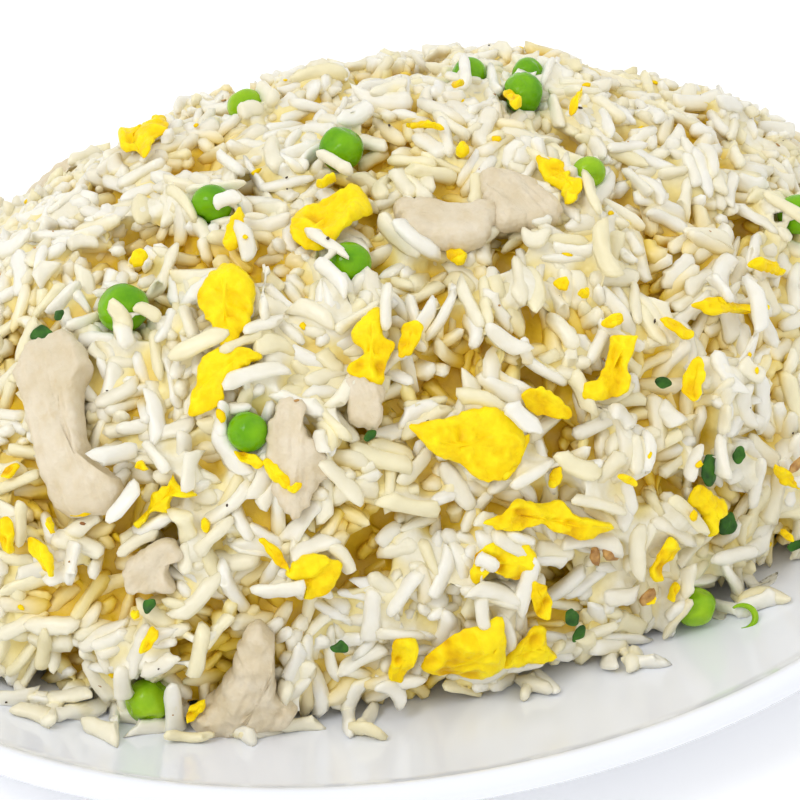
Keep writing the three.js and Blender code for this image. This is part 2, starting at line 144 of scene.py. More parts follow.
def noise(points, size, seed):
    """Value noise between -1 and 1, with features about one size across."""
    scaled = points / size + 100.0 + 17.31 * seed
    cell = np.floor(scaled).astype(np.int64)
    part = scaled - cell
    part = part * part * (3 - 2 * part)
    total = np.zeros(points.shape[:-1])
    for corner in range(8):
        step = np.array([corner & 1, (corner >> 1) & 1, corner >> 2])
        at = cell + step
        mixed = (at[..., 0] * 73856093) ^ (at[..., 1] * 19349663) ^ (at[..., 2] * 83492791)
        mixed = (mixed ^ (mixed >> 13)) * 1274126177 & 0x7FFFFFFF
        value = ((mixed ^ (mixed >> 16)) & 0xFFFF) / 32767.5 - 1
        weight = np.prod(np.where(step == 1, part, 1 - part), axis=-1)
        total += value * weight
    return total


def rough(points, size, seed):
    """Noise in three layers, each half as large and half as strong as the one before."""
    return np.sum([noise(points, size / 2 ** k, seed + k) / 2 ** k for k in range(3)], axis=0)


def with_depth(spots, depth):
    """Flat spots as points in space, so that each piece reads the noise at a depth of its own."""
    return np.concatenate([spots, np.full((*spots.shape[:-1], 1), depth)], -1)


# ---------------------------------------------------------------- platter and dome

def plate_top(inset):
    """Height of the platter's upper surface, this far inwards from its outline."""
    run = np.clip((WELL_INSET - inset) / (WELL_INSET - LIP_INSET), 0, 1)
    return WELL_HEIGHT + (RIM_HEIGHT - LIP_DROP - WELL_HEIGHT) * run ** SIDE_CURVE


def oval_half_width(half_length):
    """Half the width of the platter's oval of this half length, in proportion inside its core."""
    narrower = PLATE_HALF_LENGTH - PLATE_HALF_WIDTH
    outer = half_length - narrower
    inner = half_length * (OVAL_CORE - narrower) / OVAL_CORE
    return np.where(half_length >= OVAL_CORE, outer, inner)


def inset_at(x, y):
    """How far inwards from the platter's outline a place lies, by halving."""
    low = np.zeros_like(x)
    high = np.full_like(x, PLATE_HALF_LENGTH - 1)
    for _ in range(24):
        middle = (low + high) / 2
        half_length = PLATE_HALF_LENGTH - middle
        within = np.hypot(x / half_length, y / oval_half_width(half_length)) < 1
        low = np.where(within, middle, low)
        high = np.where(within, high, middle)
    return low


# The platter's height under each place, on a grid of 1 mm that is then read between.
GRID_MARGIN = 6
GRID_X, GRID_Y = (np.arange(-math.ceil(half) - GRID_MARGIN, math.ceil(half) + GRID_MARGIN + 1.0)
                  for half in (PLATE_HALF_LENGTH, PLATE_HALF_WIDTH))
PLATE_GRID = plate_top(inset_at(*np.meshgrid(GRID_X, GRID_Y, indexing="ij")))


def plate_height(points):
    """The height of the platter's upper surface under points, from the grid."""
    x = np.clip(points[..., 0] - GRID_X[0], 0, len(GRID_X) - 1.001)
    y = np.clip(points[..., 1] - GRID_Y[0], 0, len(GRID_Y) - 1.001)
    i, j = x.astype(int), y.astype(int)
    u, v = x - i, y - j
    near = PLATE_GRID[i, j] * (1 - v) + PLATE_GRID[i, j + 1] * v
    far = PLATE_GRID[i + 1, j] * (1 - v) + PLATE_GRID[i + 1, j + 1] * v
    return near * (1 - u) + far * u


def dome(points):
    """Distance outside the smooth dome, about, and the outward direction there."""
    flat = (points[..., :2] - HEAP_CENTRE) / HEAP_HALF
    reach = np.maximum(np.linalg.norm(flat, axis=-1), 1e-6)
    foot = plate_height(points) + PLATE_GAP
    up = np.maximum((points[..., 2] - foot) / (HEAP_TOP - foot), 0)
    level = reach ** SHOULDER + up ** ROUNDING - 1
    slope = np.empty(points.shape)
    slope[..., :2] = (SHOULDER * reach ** (SHOULDER - 2))[..., None] * flat / HEAP_HALF
    slope[..., 2] = ROUNDING * np.maximum(up, 1e-3) ** (ROUNDING - 1) / (HEAP_TOP - foot)
    steep = np.linalg.norm(slope, axis=-1)
    return level / steep, slope / steep[..., None]


def lumps(points):
    """How far the heap's slow lumps stand out from the dome."""
    slow = LUMP * unevenness(points, LUMP_SIZE, 0.6)
    return slow + 0.5 * LUMP * unevenness(points, SMALL_LUMP_SIZE, 2.2)


def above_rice(points):
    """Height over the rice's surface, with its lumps and its clumps and hollows."""
    return dome(points)[0] - lumps(points) - clump_height(points)


def surface_axes(normals):
    """Level and uphill directions for outward ones."""
    level = unit(np.cross(UP, normals))
    return level, np.cross(normals, level)


def heap_spot(bearing, elevation, above=0.0):
    """The place on the heap seen from the middle of its foot at this bearing and elevation."""
    b, e = math.radians(bearing), math.radians(elevation)
    way = np.array([math.cos(b) * math.cos(e), math.sin(b) * math.cos(e), math.sin(e)])
    foot = np.array([*HEAP_CENTRE, WELL_HEIGHT + 1])
    near, far = 20.0, 130.0
    for _ in range(30):
        reach = (near + far) / 2
        point = foot + reach * way
        outside = above_rice(point[None])[0] - above
        near, far = (near, reach) if outside > 0 else (reach, far)
    return point


def view_axes():
    """Towards the camera, to the right in its picture, and up in it."""
    azimuth, elevation = math.radians(CAMERA_AZIMUTH), math.radians(CAMERA_ELEVATION)
    level = math.cos(elevation)
    back = np.array([math.sin(azimuth) * level, -math.cos(azimuth) * level, math.sin(elevation)])
    right = unit(np.cross(UP, back))
    return back, right, np.cross(back, right)


VIEW_BACK, VIEW_RIGHT, VIEW_UP = view_axes()
EYE = CAMERA_TARGET + VIEW_BACK * CAMERA_DISTANCE


def sight(across, down):
    """The way from the camera through a point of the picture, in pixels from its upper left."""
    middle = PICTURE_WIDTH / 2
    aside = VIEW_RIGHT * (across - middle) - VIEW_UP * (down - middle)
    return unit(aside - VIEW_BACK * PIXELS_PER_MM * CAMERA_DISTANCE)


def line_of_sight(across, down):
    """Points along the sight through a point of the picture, where it passes the food."""
    reaches = np.arange(CAMERA_DISTANCE - 100, CAMERA_DISTANCE + 100, 0.25)
    return EYE + reaches[:, None] * sight(across, down)


def first_within(points, outside):
    """The first point that is inside, or the nearest one where the sight passes by."""
    return points[np.argmax(outside < 0) if (outside < 0).any() else np.argmin(outside)]


def seen_on_heap(across, down, above=0.0):
    """The place on the heap, raised by above, that shows at a point of the picture."""
    points = line_of_sight(across, down)
    return first_within(points, above_rice(points) - above)


# ---------------------------------------------------------------- toppings' places

# How many grains start over a topping's edge, where it isn't three for egg and chicken and one for others.
COVERING = {"egg_07": 5, "egg_05": 2, "egg_09": 1, "egg_01": 0, "chicken_01": 1, "chicken_03": 6,
            "chicken_02": 5, "chicken_07": 5, "pea_08": 2, "pea_13": 2}


class Place:
    """Where a CAD topping lies: its middle, its axes and its half sizes along them."""

    def __init__(self, name):
        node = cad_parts[name]
        corners = np.array([vertex.co for vertex in node.data.vertices]) / MM
        self.middle = corners.mean(0)
        self.normal = dome(self.middle)[1]
        level, uphill = surface_axes(self.normal)
        offsets = corners - self.middle
        in_plane = np.stack([offsets @ level, offsets @ uphill])
        main = np.linalg.eigh(np.cov(in_plane))[1][:, 1]
        if main[0] < 0:
            main = -main
        along = main[0] * level + main[1] * uphill
        self.axes = np.stack([along, np.cross(self.normal, along), self.normal])
        spans = offsets @ self.axes.T
        self.half = (spans.max(0) - spans.min(0)) / 2
        self.middle = self.middle + ((spans.max(0) + spans.min(0)) / 2) @ self.axes

    def world(self, local):
        return self.middle + local @ self.axes


PLACES = {name: Place(name) for name in sorted(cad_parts) if name not in ("plate", "rice")}


def toppings(kind):
    """Name, number and place of each topping of a kind."""
    return [(name, int(name[-2:]), place) for name, place in PLACES.items() if name.startswith(kind + "_")]


# ---------------------------------------------------------------- packing the grains

# A cell itself and the neighbours that come after it, so that each pair of cells shows once.
CELLS_ON = [(0, 0, 0), (0, 0, 1)]
CELLS_ON += [(0, 1, k) for k in (-1, 0, 1)]
CELLS_ON += [(1, j, k) for j in (-1, 0, 1) for k in (-1, 0, 1)]


def near_pairs(points, reach):
    """Pairs of points closer than reach, from a grid of cells that size."""
    cells = np.floor((points - points.min(0)) / reach).astype(np.int64) + 1
    counts = cells.max(0) + 2
    keys = (cells[:, 0] * counts[1] + cells[:, 1]) * counts[2] + cells[:, 2]
    order = np.argsort(keys, kind="stable")
    ordered = keys[order]
    firsts, seconds = [], []
    for dx, dy, dz in CELLS_ON:
        wanted = ordered + (dx * counts[1] + dy) * counts[2] + dz
        low = np.searchsorted(ordered, wanted, "left")
        high = np.searchsorted(ordered, wanted, "right")
        found = high - low
        mine = np.repeat(np.arange(len(points)), found)
        within = np.arange(len(mine)) - np.repeat(np.cumsum(found) - found, found)
        other = np.repeat(low, found) + within
        if (dx, dy, dz) == (0, 0, 0):
            keep = mine < other
            mine, other = mine[keep], other[keep]
        firsts.append(order[mine])
        seconds.append(order[other])
    first, second = np.concatenate(firsts), np.concatenate(seconds)
    gaps = points[first] - points[second]
    near = np.einsum("ij,ij->i", gaps, gaps) < reach * reach
    return first[near], second[near]


def topping_nearness(points):
    """1 at a topping, falling to 0 a few millimetres off."""
    nearest = np.full(points.shape[:-1], np.inf)
    for place in PLACES.values():
        local = (points - place.middle) @ place.axes.T
        beyond = np.linalg.norm(local / (place.half + 1.0), axis=-1) - 1
        nearest = np.minimum(nearest, beyond * place.half.mean())
    return np.clip(1 - nearest / 5.0, 0, 1)


def clump_height(points):
    """How far the sticky clumps stand out from the dome, and the hollows between lie in."""
    height = 1.5 * noise(points, CLUMP_SIZE, 1) + 0.6 * noise(points, CLUMP_SIZE / 2, 2)
    height = CLUMP_HEIGHT * np.clip(height, -1, 0.9)
    near = topping_nearness(points)
    return np.where(height > 0, height * (1 - 0.8 * near), height * (1 - 0.5 * near))


class Grains:
    """Grains of rice, and how proud of the lumpy dome each may lie."""

    def __init__(self, middles, directions, half_lengths, radii, proud):
        self.middles = middles
        self.directions = directions
        self.half_lengths = half_lengths
        self.radii = radii
        self.proud = proud

    def values(self):
        return self.middles, self.directions, self.half_lengths, self.radii, self.proud

    def chosen(self, which):
        return Grains(*(values[which] for values in self.values()))

    def followed_by(self, others):
        return Grains(*(np.concatenate(pair) for pair in zip(self.values(), others.values())))


def start_grains(draws):
    """Middles and directions of grains at random in the shell, in clumps that lie alike."""
    low = np.array([*(HEAP_CENTRE - HEAP_HALF), WELL_HEIGHT])
    high = np.array([*(HEAP_CENTRE + HEAP_HALF), HEAP_TOP + CLUMP_HEIGHT])
    tried = draws.uniform(low, high, (TRIED_PLACES, 3))
    depth = -above_rice(tried)
    inside = (depth > 0.5 * GRAIN_RADIUS) & (depth < SHELL_DEPTH)
    inside &= tried[:, 2] > plate_height(tried) + GRAIN_RADIUS
    shell_volume = inside.mean() * np.prod(high - low)
    grain_volume = math.pi * GRAIN_RADIUS ** 2 * (2 * GRAIN_HALF_LENGTH - 0.7 * GRAIN_RADIUS)
    count = int(shell_volume * PACKING / grain_volume)
    middles = tried[inside][:count]
    count = len(middles)

    seeds = middles[draws.permutation(count)[: count // CLUMP_GRAINS]]
    nearest = np.concatenate([
        np.argmin(((block[:, None] - seeds[None]) ** 2).sum(-1), axis=1)
        for block in np.array_split(middles, 40)
    ])
    turn = draws.uniform(0, TAU, len(seeds))[nearest] + draws.normal(0, 0.2, count)
    tilt = draws.normal(0, 0.26, len(seeds))[nearest] + draws.normal(0, 0.12, count)
    loner = draws.random(count) < LONERS
    turn = np.where(loner, draws.uniform(0, TAU, count), turn)
    tilt = np.where(loner, draws.normal(0, 0.5, count), tilt)
    normals = dome(middles)[1]
    level, uphill = surface_axes(normals)
    flat = np.cos(turn)[:, None] * level + np.sin(turn)[:, None] * uphill
    return middles, np.cos(tilt)[:, None] * flat + np.sin(tilt)[:, None] * normals


def grains_on_toppings(draws):
    """Grains that start above the toppings' edges, and settle over them."""
    middles, directions = [], []
    for name, place in PLACES.items():
        number = COVERING.get(name, 3 if name.startswith(("egg", "chicken")) else 1)
        for turn in draws.uniform(0, TAU, number):
            out = np.array([math.cos(turn), math.sin(turn), 0.0])
            rim = out * place.half * draws.uniform(0.8, 1.1)
            rim[2] = place.half[2] * 0.5 + 1.5 * GRAIN_RADIUS
            middles.append(place.world(rim))
            way = draws.normal(0, 1, 3) * np.array([1, 1, 0.25])
            directions.append(way @ place.axes)
    return np.array(middles), unit(np.array(directions))


# Points of the picture, here and below, are in its pixels, across and down from its upper left.
# Single grains that lie on the heap or over a topping: both ends of each.
LAID_GRAINS = [
    (271, 130, 276, 176), (220, 155, 240, 172), (214, 202, 240, 196), (142, 196, 140, 224),
    (242, 224, 250, 260), (266, 262, 262, 306), (318, 258, 348, 294), (290, 304, 336, 322),
    (338, 120, 374, 108), (318, 152, 350, 172), (134, 306, 160, 316), (120, 326, 128, 344),
    (242, 112, 258, 106), (516, 250, 522, 310), (532, 262, 536, 316), (484, 326, 526, 354),
    (508, 402, 540, 434), (556, 454, 600, 478), (512, 488, 550, 462), (710, 276, 732, 300),
    (712, 352, 744, 396), (740, 362, 764, 380), (728, 404, 722, 434), (670, 494, 708, 534),
    (570, 498, 624, 510), (762, 456, 754, 506), (700, 444, 688, 482), (720, 434, 724, 480),
    (612, 408, 630, 424), (520, 236, 550, 238), (462, 57, 467, 86), (585, 174, 600, 214),
    (663, 618, 687, 603), (686, 566, 686, 598), (724, 606, 716, 632), (712, 558, 757, 553),
    (724, 564, 740, 596), (750, 592, 776, 588), (604, 600, 640, 592), (664, 646, 672, 622),
    (92, 458, 138, 450), (146, 440, 165, 472), (196, 448, 184, 492), (140, 484, 106, 522),
    (255, 592, 307, 588), (196, 556, 231, 518), (180, 512, 190, 540), (206, 626, 192, 680),
    (142, 672, 178, 658), (46, 700, 94, 692), (242, 732, 288, 732), (76, 540, 68, 580), (24, 502, 18, 548),
    (172, 682, 176, 738), (121, 666, 123, 700), (221, 381, 288, 367), (597, 221, 613, 280),
    (110, 300, 128, 335), (388, 285, 385, 330), (380, 500, 440, 510),
]

# Gaps between clumps that go deeper.
HOLLOW_SPOTS = [
    (231, 150), (240, 163), (266, 109), (161, 215), (203, 260), (290, 243), (364, 180), (391, 157),
    (444, 197), (587, 137), (505, 227), (520, 229), (540, 227), (614, 180), (636, 197), (409, 238),
    (633, 245), (676, 270), (712, 257), (764, 332), (549, 328), (568, 408), (707, 427), (602, 434),
    (653, 501), (547, 452), (492, 501), (95, 395), (98, 415), (690, 395), (35, 470), (112, 550),
    (155, 598), (292, 638), (340, 640), (365, 430), (400, 480), (270, 600), (655, 590), (575, 620),
    (710, 547), (715, 520), (640, 475), (188, 700), (80, 665),
]


def seen_on_food(across, down, above):
    """As seen_on_heap, but over any topping that lies there."""
    points = line_of_sight(across, down)
    outside = above_rice(points) - above
    for place in PLACES.values():
        local = (points - place.middle) @ place.axes.T
        beyond = (np.linalg.norm(local / place.half, axis=1) - 1) * place.half.min()
        outside = np.minimum(outside, beyond - 0.75 * GRAIN_RADIUS)
    return first_within(points, outside)


def laid_grains(draws):
    """The single grains that are laid on the heap, from end to end as the picture has them."""
    above = 0.15 * GRAIN_RADIUS
    firsts = np.array([seen_on_food(across, down, above) for across, down, _, _ in LAID_GRAINS])
    seconds = np.array([seen_on_food(across, down, above) for _, _, across, down in LAID_GRAINS])
    half_lengths = np.clip(np.linalg.norm(seconds - firsts, axis=1) / 2, 2.5, 6.0)
    radii = GRAIN_RADIUS * draws.uniform(0.98, 1.12, len(firsts))
    proud = np.full(len(firsts), 1.0)
    return Grains((firsts + seconds) / 2, unit(seconds - firsts), half_lengths, radii, proud)


def outside_hollows(draws, grains):
    """Which grains stay once grain-shaped gaps are opened, each down from one grain's place."""
    middles = grains.middles
    outside, normals = dome(middles)
    upper = np.flatnonzero(outside - lumps(middles) - grains.proud > -2.0 * GRAIN_RADIUS)
    gone = np.zeros(len(middles), dtype=bool)
    chosen = list(draws.choice(upper, HOLLOWS, replace=False))
    for across, down in HOLLOW_SPOTS:
        spot = seen_on_heap(across, down)
        chosen.append(upper[np.argmin(((middles[upper] - spot) ** 2).sum(1))])
    for k in chosen:
        way, half = grains.directions[k], grains.half_lengths[k]
        offset = middles - middles[k]
        along = np.clip(offset @ way, -half, half)
        inward = np.clip(-(offset @ normals[k]), 0, HOLLOW_DEPTH)
        aside = offset - along[:, None] * way + inward[:, None] * normals[k]
        gone |= np.linalg.norm(aside, axis=1) < HOLLOW_WIDTH
    return ~gone


def unpacked_grains(draws):
    """Every grain before it settles, the laid ones last, and how many of those there are."""
    middles, directions = start_grains(draws)
    on_middles, on_directions = grains_on_toppings(draws)
    laid = laid_grains(draws)
    held = len(laid.middles)
    proud = clump_height(middles)
    usual = draws.random(len(middles)) > STANDING_OUT
    proud += np.where(usual, draws.normal(0, 0.3, len(middles)), draws.uniform(0.3, 2.4, len(middles)))
    proud = np.concatenate([proud, draws.uniform(1.5, 3.0, len(on_middles)), laid.proud])
    middles = np.concatenate([middles, on_middles, laid.middles])
    directions = np.concatenate([directions, on_directions, laid.directions])
    count = len(middles)
    half_lengths = GRAIN_HALF_LENGTH * draws.uniform(0.82, 1.28, count)
    broken = draws.random(count) < BROKEN
    half_lengths = np.where(broken, half_lengths * draws.uniform(0.5, 0.75, count), half_lengths)
    half_lengths[-held:] = laid.half_lengths
    radii = GRAIN_RADIUS * draws.uniform(0.84, 1.12, count)
    radii[-held:] = laid.radii
    return Grains(middles, directions, half_lengths, radii, proud), held


def pushed_apart(beads, radii, first, second):
    """How far each bead moves to come clear of those that it overlaps."""
    gap = beads[first] - beads[second]
    length = np.linalg.norm(gap, axis=1)
    overlap = np.maximum(radii[first] + radii[second] - length, 0)
    push = gap * (0.5 * overlap / np.maximum(length, 1e-6))[:, None]
    move = np.zeros_like(beads)
    for axis in range(3):
        move[:, axis] += np.bincount(first, push[:, axis], len(beads))
        move[:, axis] -= np.bincount(second, push[:, axis], len(beads))
    touching = overlap > 0
    touches = np.bincount(first[touching], minlength=len(beads))
    touches += np.bincount(second[touching], minlength=len(beads))
    return move * (1.5 / np.maximum(touches, 1.5))[:, None]


def pack_grains(draws):
    """Pushes overlapping grains apart until they lie against each other. Laid ones stay put."""
    grains, held = unpacked_grains(draws)
    laid_middles, laid_directions = grains.middles[-held:].copy(), grains.directions[-held:].copy()
    count = len(grains.middles)
    offsets = np.linspace(-1, 1, BEADS)[None] * (grains.half_lengths - grains.radii)[:, None]
    spread = (offsets ** 2).sum(1)
    bead_radii = np.repeat(grains.radii[:, None], BEADS, 1).ravel()
    packed_radii = bead_radii * (1 - STICKING)
    grain_of = np.repeat(np.arange(count), BEADS)
    allowed = np.repeat(grains.proud, BEADS)
    for step in range(PACK_STEPS):
        beads = (grains.middles[:, None] + offsets[..., None] * grains.directions[:, None]).reshape(-1, 3)
        if step % 3 == 0:
            first, second = near_pairs(beads, PAIR_REACH)
            apart = grain_of[first] != grain_of[second]
            first, second = first[apart], second[apart]
        move = pushed_apart(beads, packed_radii, first, second)
        move += push_from_toppings(beads + move, packed_radii)
        outside, normals = dome(beads + move)
        outside = outside - lumps(beads) + bead_radii
        inward = np.maximum(outside - allowed, 0) + (SETTLING if step < PACK_STEPS - LAST_STEPS else 0)
        outward = np.maximum(-(outside - allowed + SHELL_DEPTH + 1), 0)
        move += normals * (0.8 * (outward - inward))[:, None]
        lowest = plate_height(beads + move) + 0.9 * bead_radii
        move[:, 2] += np.maximum(lowest - (beads + move)[:, 2], 0)
        moved = (beads + move).reshape(count, BEADS, 3)
        grains.middles = moved.mean(1)
        leaning = (offsets[..., None] * (moved - grains.middles[:, None])).sum(1) / spread[:, None]
        grains.directions = unit(leaning)
        grains.middles[-held:] = laid_middles
        grains.directions[-held:] = laid_directions
    stays = outside_hollows(draws, grains)
    stays[-held:] = True
    return grains.chosen(stays)


def push_from_toppings(beads, bead_radii):
    """How far each bead moves to come clear of the toppings."""
    move = np.zeros_like(beads)
    for place in PLACES.values():
        near = np.flatnonzero(np.abs(beads - place.middle).max(1) < place.half.max() + 2.5)
        if not len(near):
            continue
        local = (beads[near] - place.middle) @ place.axes.T
        size = place.half * 0.97 + bead_radii[near, None]
        inside = np.linalg.norm(local / size, axis=1)
        way = unit(local / size ** 2)
        deep = np.maximum(1 - inside, 0) * size.min(1)
        move[near] += (way * deep[:, None]) @ place.axes
    return move


# ---------------------------------------------------------------- mesh helpers

def make_object(name, vertices, faces, material, smooth=True, attributes=None):
    """A mesh object from vertices in mm. Faces are rows of three or four indices."""
    mesh = bpy.data.meshes.new(name)
    corners = faces.shape[1]
    mesh.vertices.add(len(vertices))
    mesh.vertices.foreach_set("co", (vertices * MM).astype(np.float32).ravel())
    mesh.loops.add(faces.size)
    mesh.loops.foreach_set("vertex_index", faces.astype(np.int32).ravel())
    mesh.polygons.add(len(faces))
    mesh.polygons.foreach_set("loop_start", np.arange(len(faces), dtype=np.int32) * corners)
    mesh.update(calc_edges=True)
    mesh.validate()
    if smooth:
        mesh.polygons.foreach_set("use_smooth", np.ones(len(mesh.polygons), dtype=bool))
    for key, values in (attributes or {}).items():
        layer = mesh.attributes.new(key, "FLOAT", "POINT")
        layer.data.foreach_set("value", values.astype(np.float32))
    mesh.materials.append(material)
    piece = bpy.data.objects.new(name, mesh)
    bpy.context.scene.collection.objects.link(piece)
    return piece


def belongs(piece, slot, *nodes):
    """Ties a piece to the part's root body and hides the nodes it replaces; slot is not used."""
    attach(piece, "root")
    if nodes:
        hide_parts(*nodes)


def tube_faces(rings, sides):
    """Triangles of a closed body whose first and last vertices are its two ends."""
    faces = []
    ring = np.arange(sides)
    after = (ring + 1) % sides
    faces.append(np.stack([np.zeros(sides, int), 1 + after, 1 + ring], 1))
    for k in range(rings - 1):
        a, b = 1 + k * sides, 1 + (k + 1) * sides
        faces.append(np.stack([a + ring, a + after, b + ring], 1))
        faces.append(np.stack([a + after, b + after, b + ring], 1))
    last = 1 + rings * sides
    a = 1 + (rings - 1) * sides
    faces.append(np.stack([a + ring, a + after, np.full(sides, last)], 1))
    return np.concatenate(faces)


def joined(parts):
    """Vertices and faces of many bodies as one."""
    vertices, faces, start = [], [], 0
    for points, triangles in parts:
        vertices.append(points)
        faces.append(triangles + start)
        start += len(points)
    return np.concatenate(vertices), np.concatenate(faces)


# ---------------------------------------------------------------- grain shapes

FINE_GRAIN = (9, 8)  # sides and rings
COARSE_GRAIN = (6, 5)


def grain_template(draws, sides, rings):
    """A cooked grain along x from -1 to 1, about 1 in radius: tapered, bent, a little flat."""
    plump = draws.uniform(0.9, 1.04)
    blunt = draws.choice([2.4, 3.6, 6.0, 12.0], 2, p=[0.15, 0.2, 0.3, 0.35])
    cut = draws.normal(0, 0.42, 2)
    bend = draws.normal(0, 0.16)
    twist = draws.normal(0, 0.4)
    flare = max(draws.normal(-0.05, 0.2), 0)
    flare_end = draws.choice([-1, 1])
    groove = draws.uniform(0.02, 0.2)
    flat = draws.uniform(0.66, 0.92)
    wave = draws.uniform(0, TAU, 2)
    along = np.sin(np.linspace(-1, 1, rings + 2)[1:-1] * 1.44) / math.sin(1.44) * 0.975
    turn = np.arange(sides) / sides * TAU
    points = [[-1.0, 0.0, 0.0]]
    for x in along:
        power = blunt[0] if x < 0 else blunt[1]
        width = plump * (1 - abs(x) ** power) ** 0.5
        width *= 1 + flare * math.exp(-((x - 0.75 * flare_end) / 0.25) ** 2)
        width *= (1 - 0.07 * math.exp(-((x + 0.1) / 0.3) ** 2)) * draws.uniform(0.94, 1.05)
        for angle in turn:
            edge = 1 + groove * math.cos(2 * angle) + 0.1 * math.cos(3 * angle + 2 * x)
            spun = angle + twist * x
            points.append([x, width * edge * math.cos(spun), width * edge * flat * math.sin(spun)])
    points.append([1.0, 0.0, 0.0])
    points = np.array(points)
    end_side = np.where(points[:, 0] < 0, cut[0], cut[1])
    points[:, 0] += end_side * points[:, 1] * points[:, 0] ** 6
    points[:, 1] += bend * 3.0 * (points[:, 0] ** 2 - 0.35) + 0.12 * np.sin(2.6 * points[:, 0] + wave[0])
    points[:, 2] += 0.3 * bend * np.sin(3 * points[:, 0]) + 0.1 * np.sin(2.2 * points[:, 0] + wave[1])
    return points


def capsule_template(sides, rings):
    """A plain grain along x from -1 to 1, round and straight."""
    along = np.sin(np.linspace(-1, 1, rings + 2)[1:-1] * 1.4) / math.sin(1.4) * 0.96
    turn = np.arange(sides) / sides * TAU
    width = (1 - np.abs(along) ** 4) ** 0.5
    x = np.repeat(along, sides)
    y = (width[:, None] * np.cos(turn)).ravel()
    z = (width[:, None] * np.sin(turn)).ravel()
    return np.concatenate([[[-1, 0, 0]], np.stack([x, y, z], 1), [[1, 0, 0]]])


def grain_axes(directions, helper):
    """Two directions across each grain."""
    side = unit(np.cross(directions, helper))
    return side, np.cross(directions, side)


def grain_bodies(grains, draws, sides, rings):
    """Vertices of every grain, grain by grain."""
    templates = np.stack([grain_template(draws, sides, rings) for _ in range(GRAIN_SHAPES)])
    count = len(grains.middles)
    chosen = templates[draws.integers(0, len(templates), count)]
    side, other = grain_axes(grains.directions, draws.normal(0, 1, (count, 3)))
    lengthways = grains.half_lengths[:, None] * grains.directions
    vertices = grains.middles[:, None] + chosen[..., :1] * lengthways[:, None]
    vertices = vertices + chosen[..., 1:2] * (grains.radii[:, None] * side)[:, None]
    return vertices + chosen[..., 2:] * (grains.radii[:, None] * other)[:, None]


def repeated_faces(faces, corners, count):
    """The faces of one body for each of many alike, whose vertices follow each other."""
    return (faces[None] + (np.arange(count) * corners)[:, None, None]).reshape(-1, 3)


def near_grains(bodies, owners, grains):
    """For each vertex, how hemmed in by other grains it is, and how far off the nearest lies."""
    straight = (grains.half_lengths - grains.radii)[:, None, None]
    stations = np.linspace(-1, 1, BEADS + 1)[None, :, None] * straight
    beads = (grains.middles[:, None] + stations * grains.directions[:, None]).reshape(-1, 3)
    bead_owner = np.repeat(np.arange(len(grains.middles)), BEADS + 1)
    bead_radius = np.repeat(grains.radii, BEADS + 1)
    vertices = bodies.reshape(-1, 3)
    owner = np.repeat(owners, bodies.shape[1])
    reach = 1.9 * GRAIN_RADIUS
    both = np.concatenate([vertices, beads])
    low = both.min(0)
    cells = np.floor((beads - low) / reach).astype(np.int64) + 1
    counts = np.floor((both.max(0) - low) / reach).astype(np.int64) + 3
    keys = (cells[:, 0] * counts[1] + cells[:, 1]) * counts[2] + cells[:, 2]
    order = np.argsort(keys, kind="stable")
    ordered = keys[order]
    at = np.floor((vertices - low) / reach).astype(np.int64) + 1
    base = (at[:, 0] * counts[1] + at[:, 1]) * counts[2] + at[:, 2]
    closeness = np.zeros(len(vertices))
    nearest = np.full(len(vertices), reach)
    for dx in (-1, 0, 1):
        for dy in (-1, 0, 1):
            row = base + (dx * counts[1] + dy) * counts[2]
            start = np.searchsorted(ordered, row - 1, "left")
            stop = np.searchsorted(ordered, row + 1, "right")
            for step in range(int((stop - start).max())):
                mine = np.flatnonzero(start + step < stop)
                other = order[start[mine] + step]
                apart = bead_owner[other] != owner[mine]
                mine, other = mine[apart], other[apart]
                gap = np.linalg.norm(vertices[mine] - beads[other], axis=1) - bead_radius[other]
                closeness[mine] += np.clip(1 - gap / 1.3, 0, 1.5) * 0.2
                nearest[mine] = np.minimum(nearest[mine], gap)
    return np.clip(closeness, 0, 1).reshape(bodies.shape[:2]), nearest.reshape(bodies.shape[:2])


def fill_seams(bodies, nearest, grains):
    """Swells each grain where another lies close, as starch does between sticky grains."""
    offsets = bodies - grains.middles[:, None]
    along = (offsets * grains.directions[:, None]).sum(-1)
    reach = (grains.half_lengths - grains.radii)[:, None]
    spine = np.clip(along, -reach, reach)[..., None] * grains.directions[:, None]
    outward = unit(offsets - spine)
    swell = np.clip(SEAM_FILL - np.maximum(nearest, 0), 0, None) ** 2 / (4 * SEAM_FILL)
    swell = swell + 0.1 * noise(bodies, 1.5, 21) + 0.05 * noise(bodies, 0.7, 22)
    return bodies + outward * swell[..., None]


def vertex_normals(vertices, quads):
    """The outward direction at each vertex of a mesh of four-sided faces."""
    corners = vertices[quads]
    normals = np.cross(corners[:, 2] - corners[:, 0], corners[:, 3] - corners[:, 1])
    total = np.zeros_like(vertices)
    for axis in range(3):
        for k in range(4):
            total[:, axis] += np.bincount(quads[:, k], normals[:, axis], len(vertices))
    return unit(total)


def relaxed(vertices, quads, share):
    """One smoothing pass: each vertex moves towards the mean of its neighbours."""
    total = np.zeros_like(vertices)
    number = np.zeros(len(vertices))
    for k in range(4):
        first, second = quads[:, k], quads[:, (k + 1) % 4]
        number += np.bincount(first, minlength=len(vertices))
        number += np.bincount(second, minlength=len(vertices))
        for axis in range(3):
            total[:, axis] += np.bincount(first, vertices[second, axis], len(vertices))
            total[:, axis] += np.bincount(second, vertices[first, axis], len(vertices))
    return vertices + share * (total / number[:, None] - vertices)


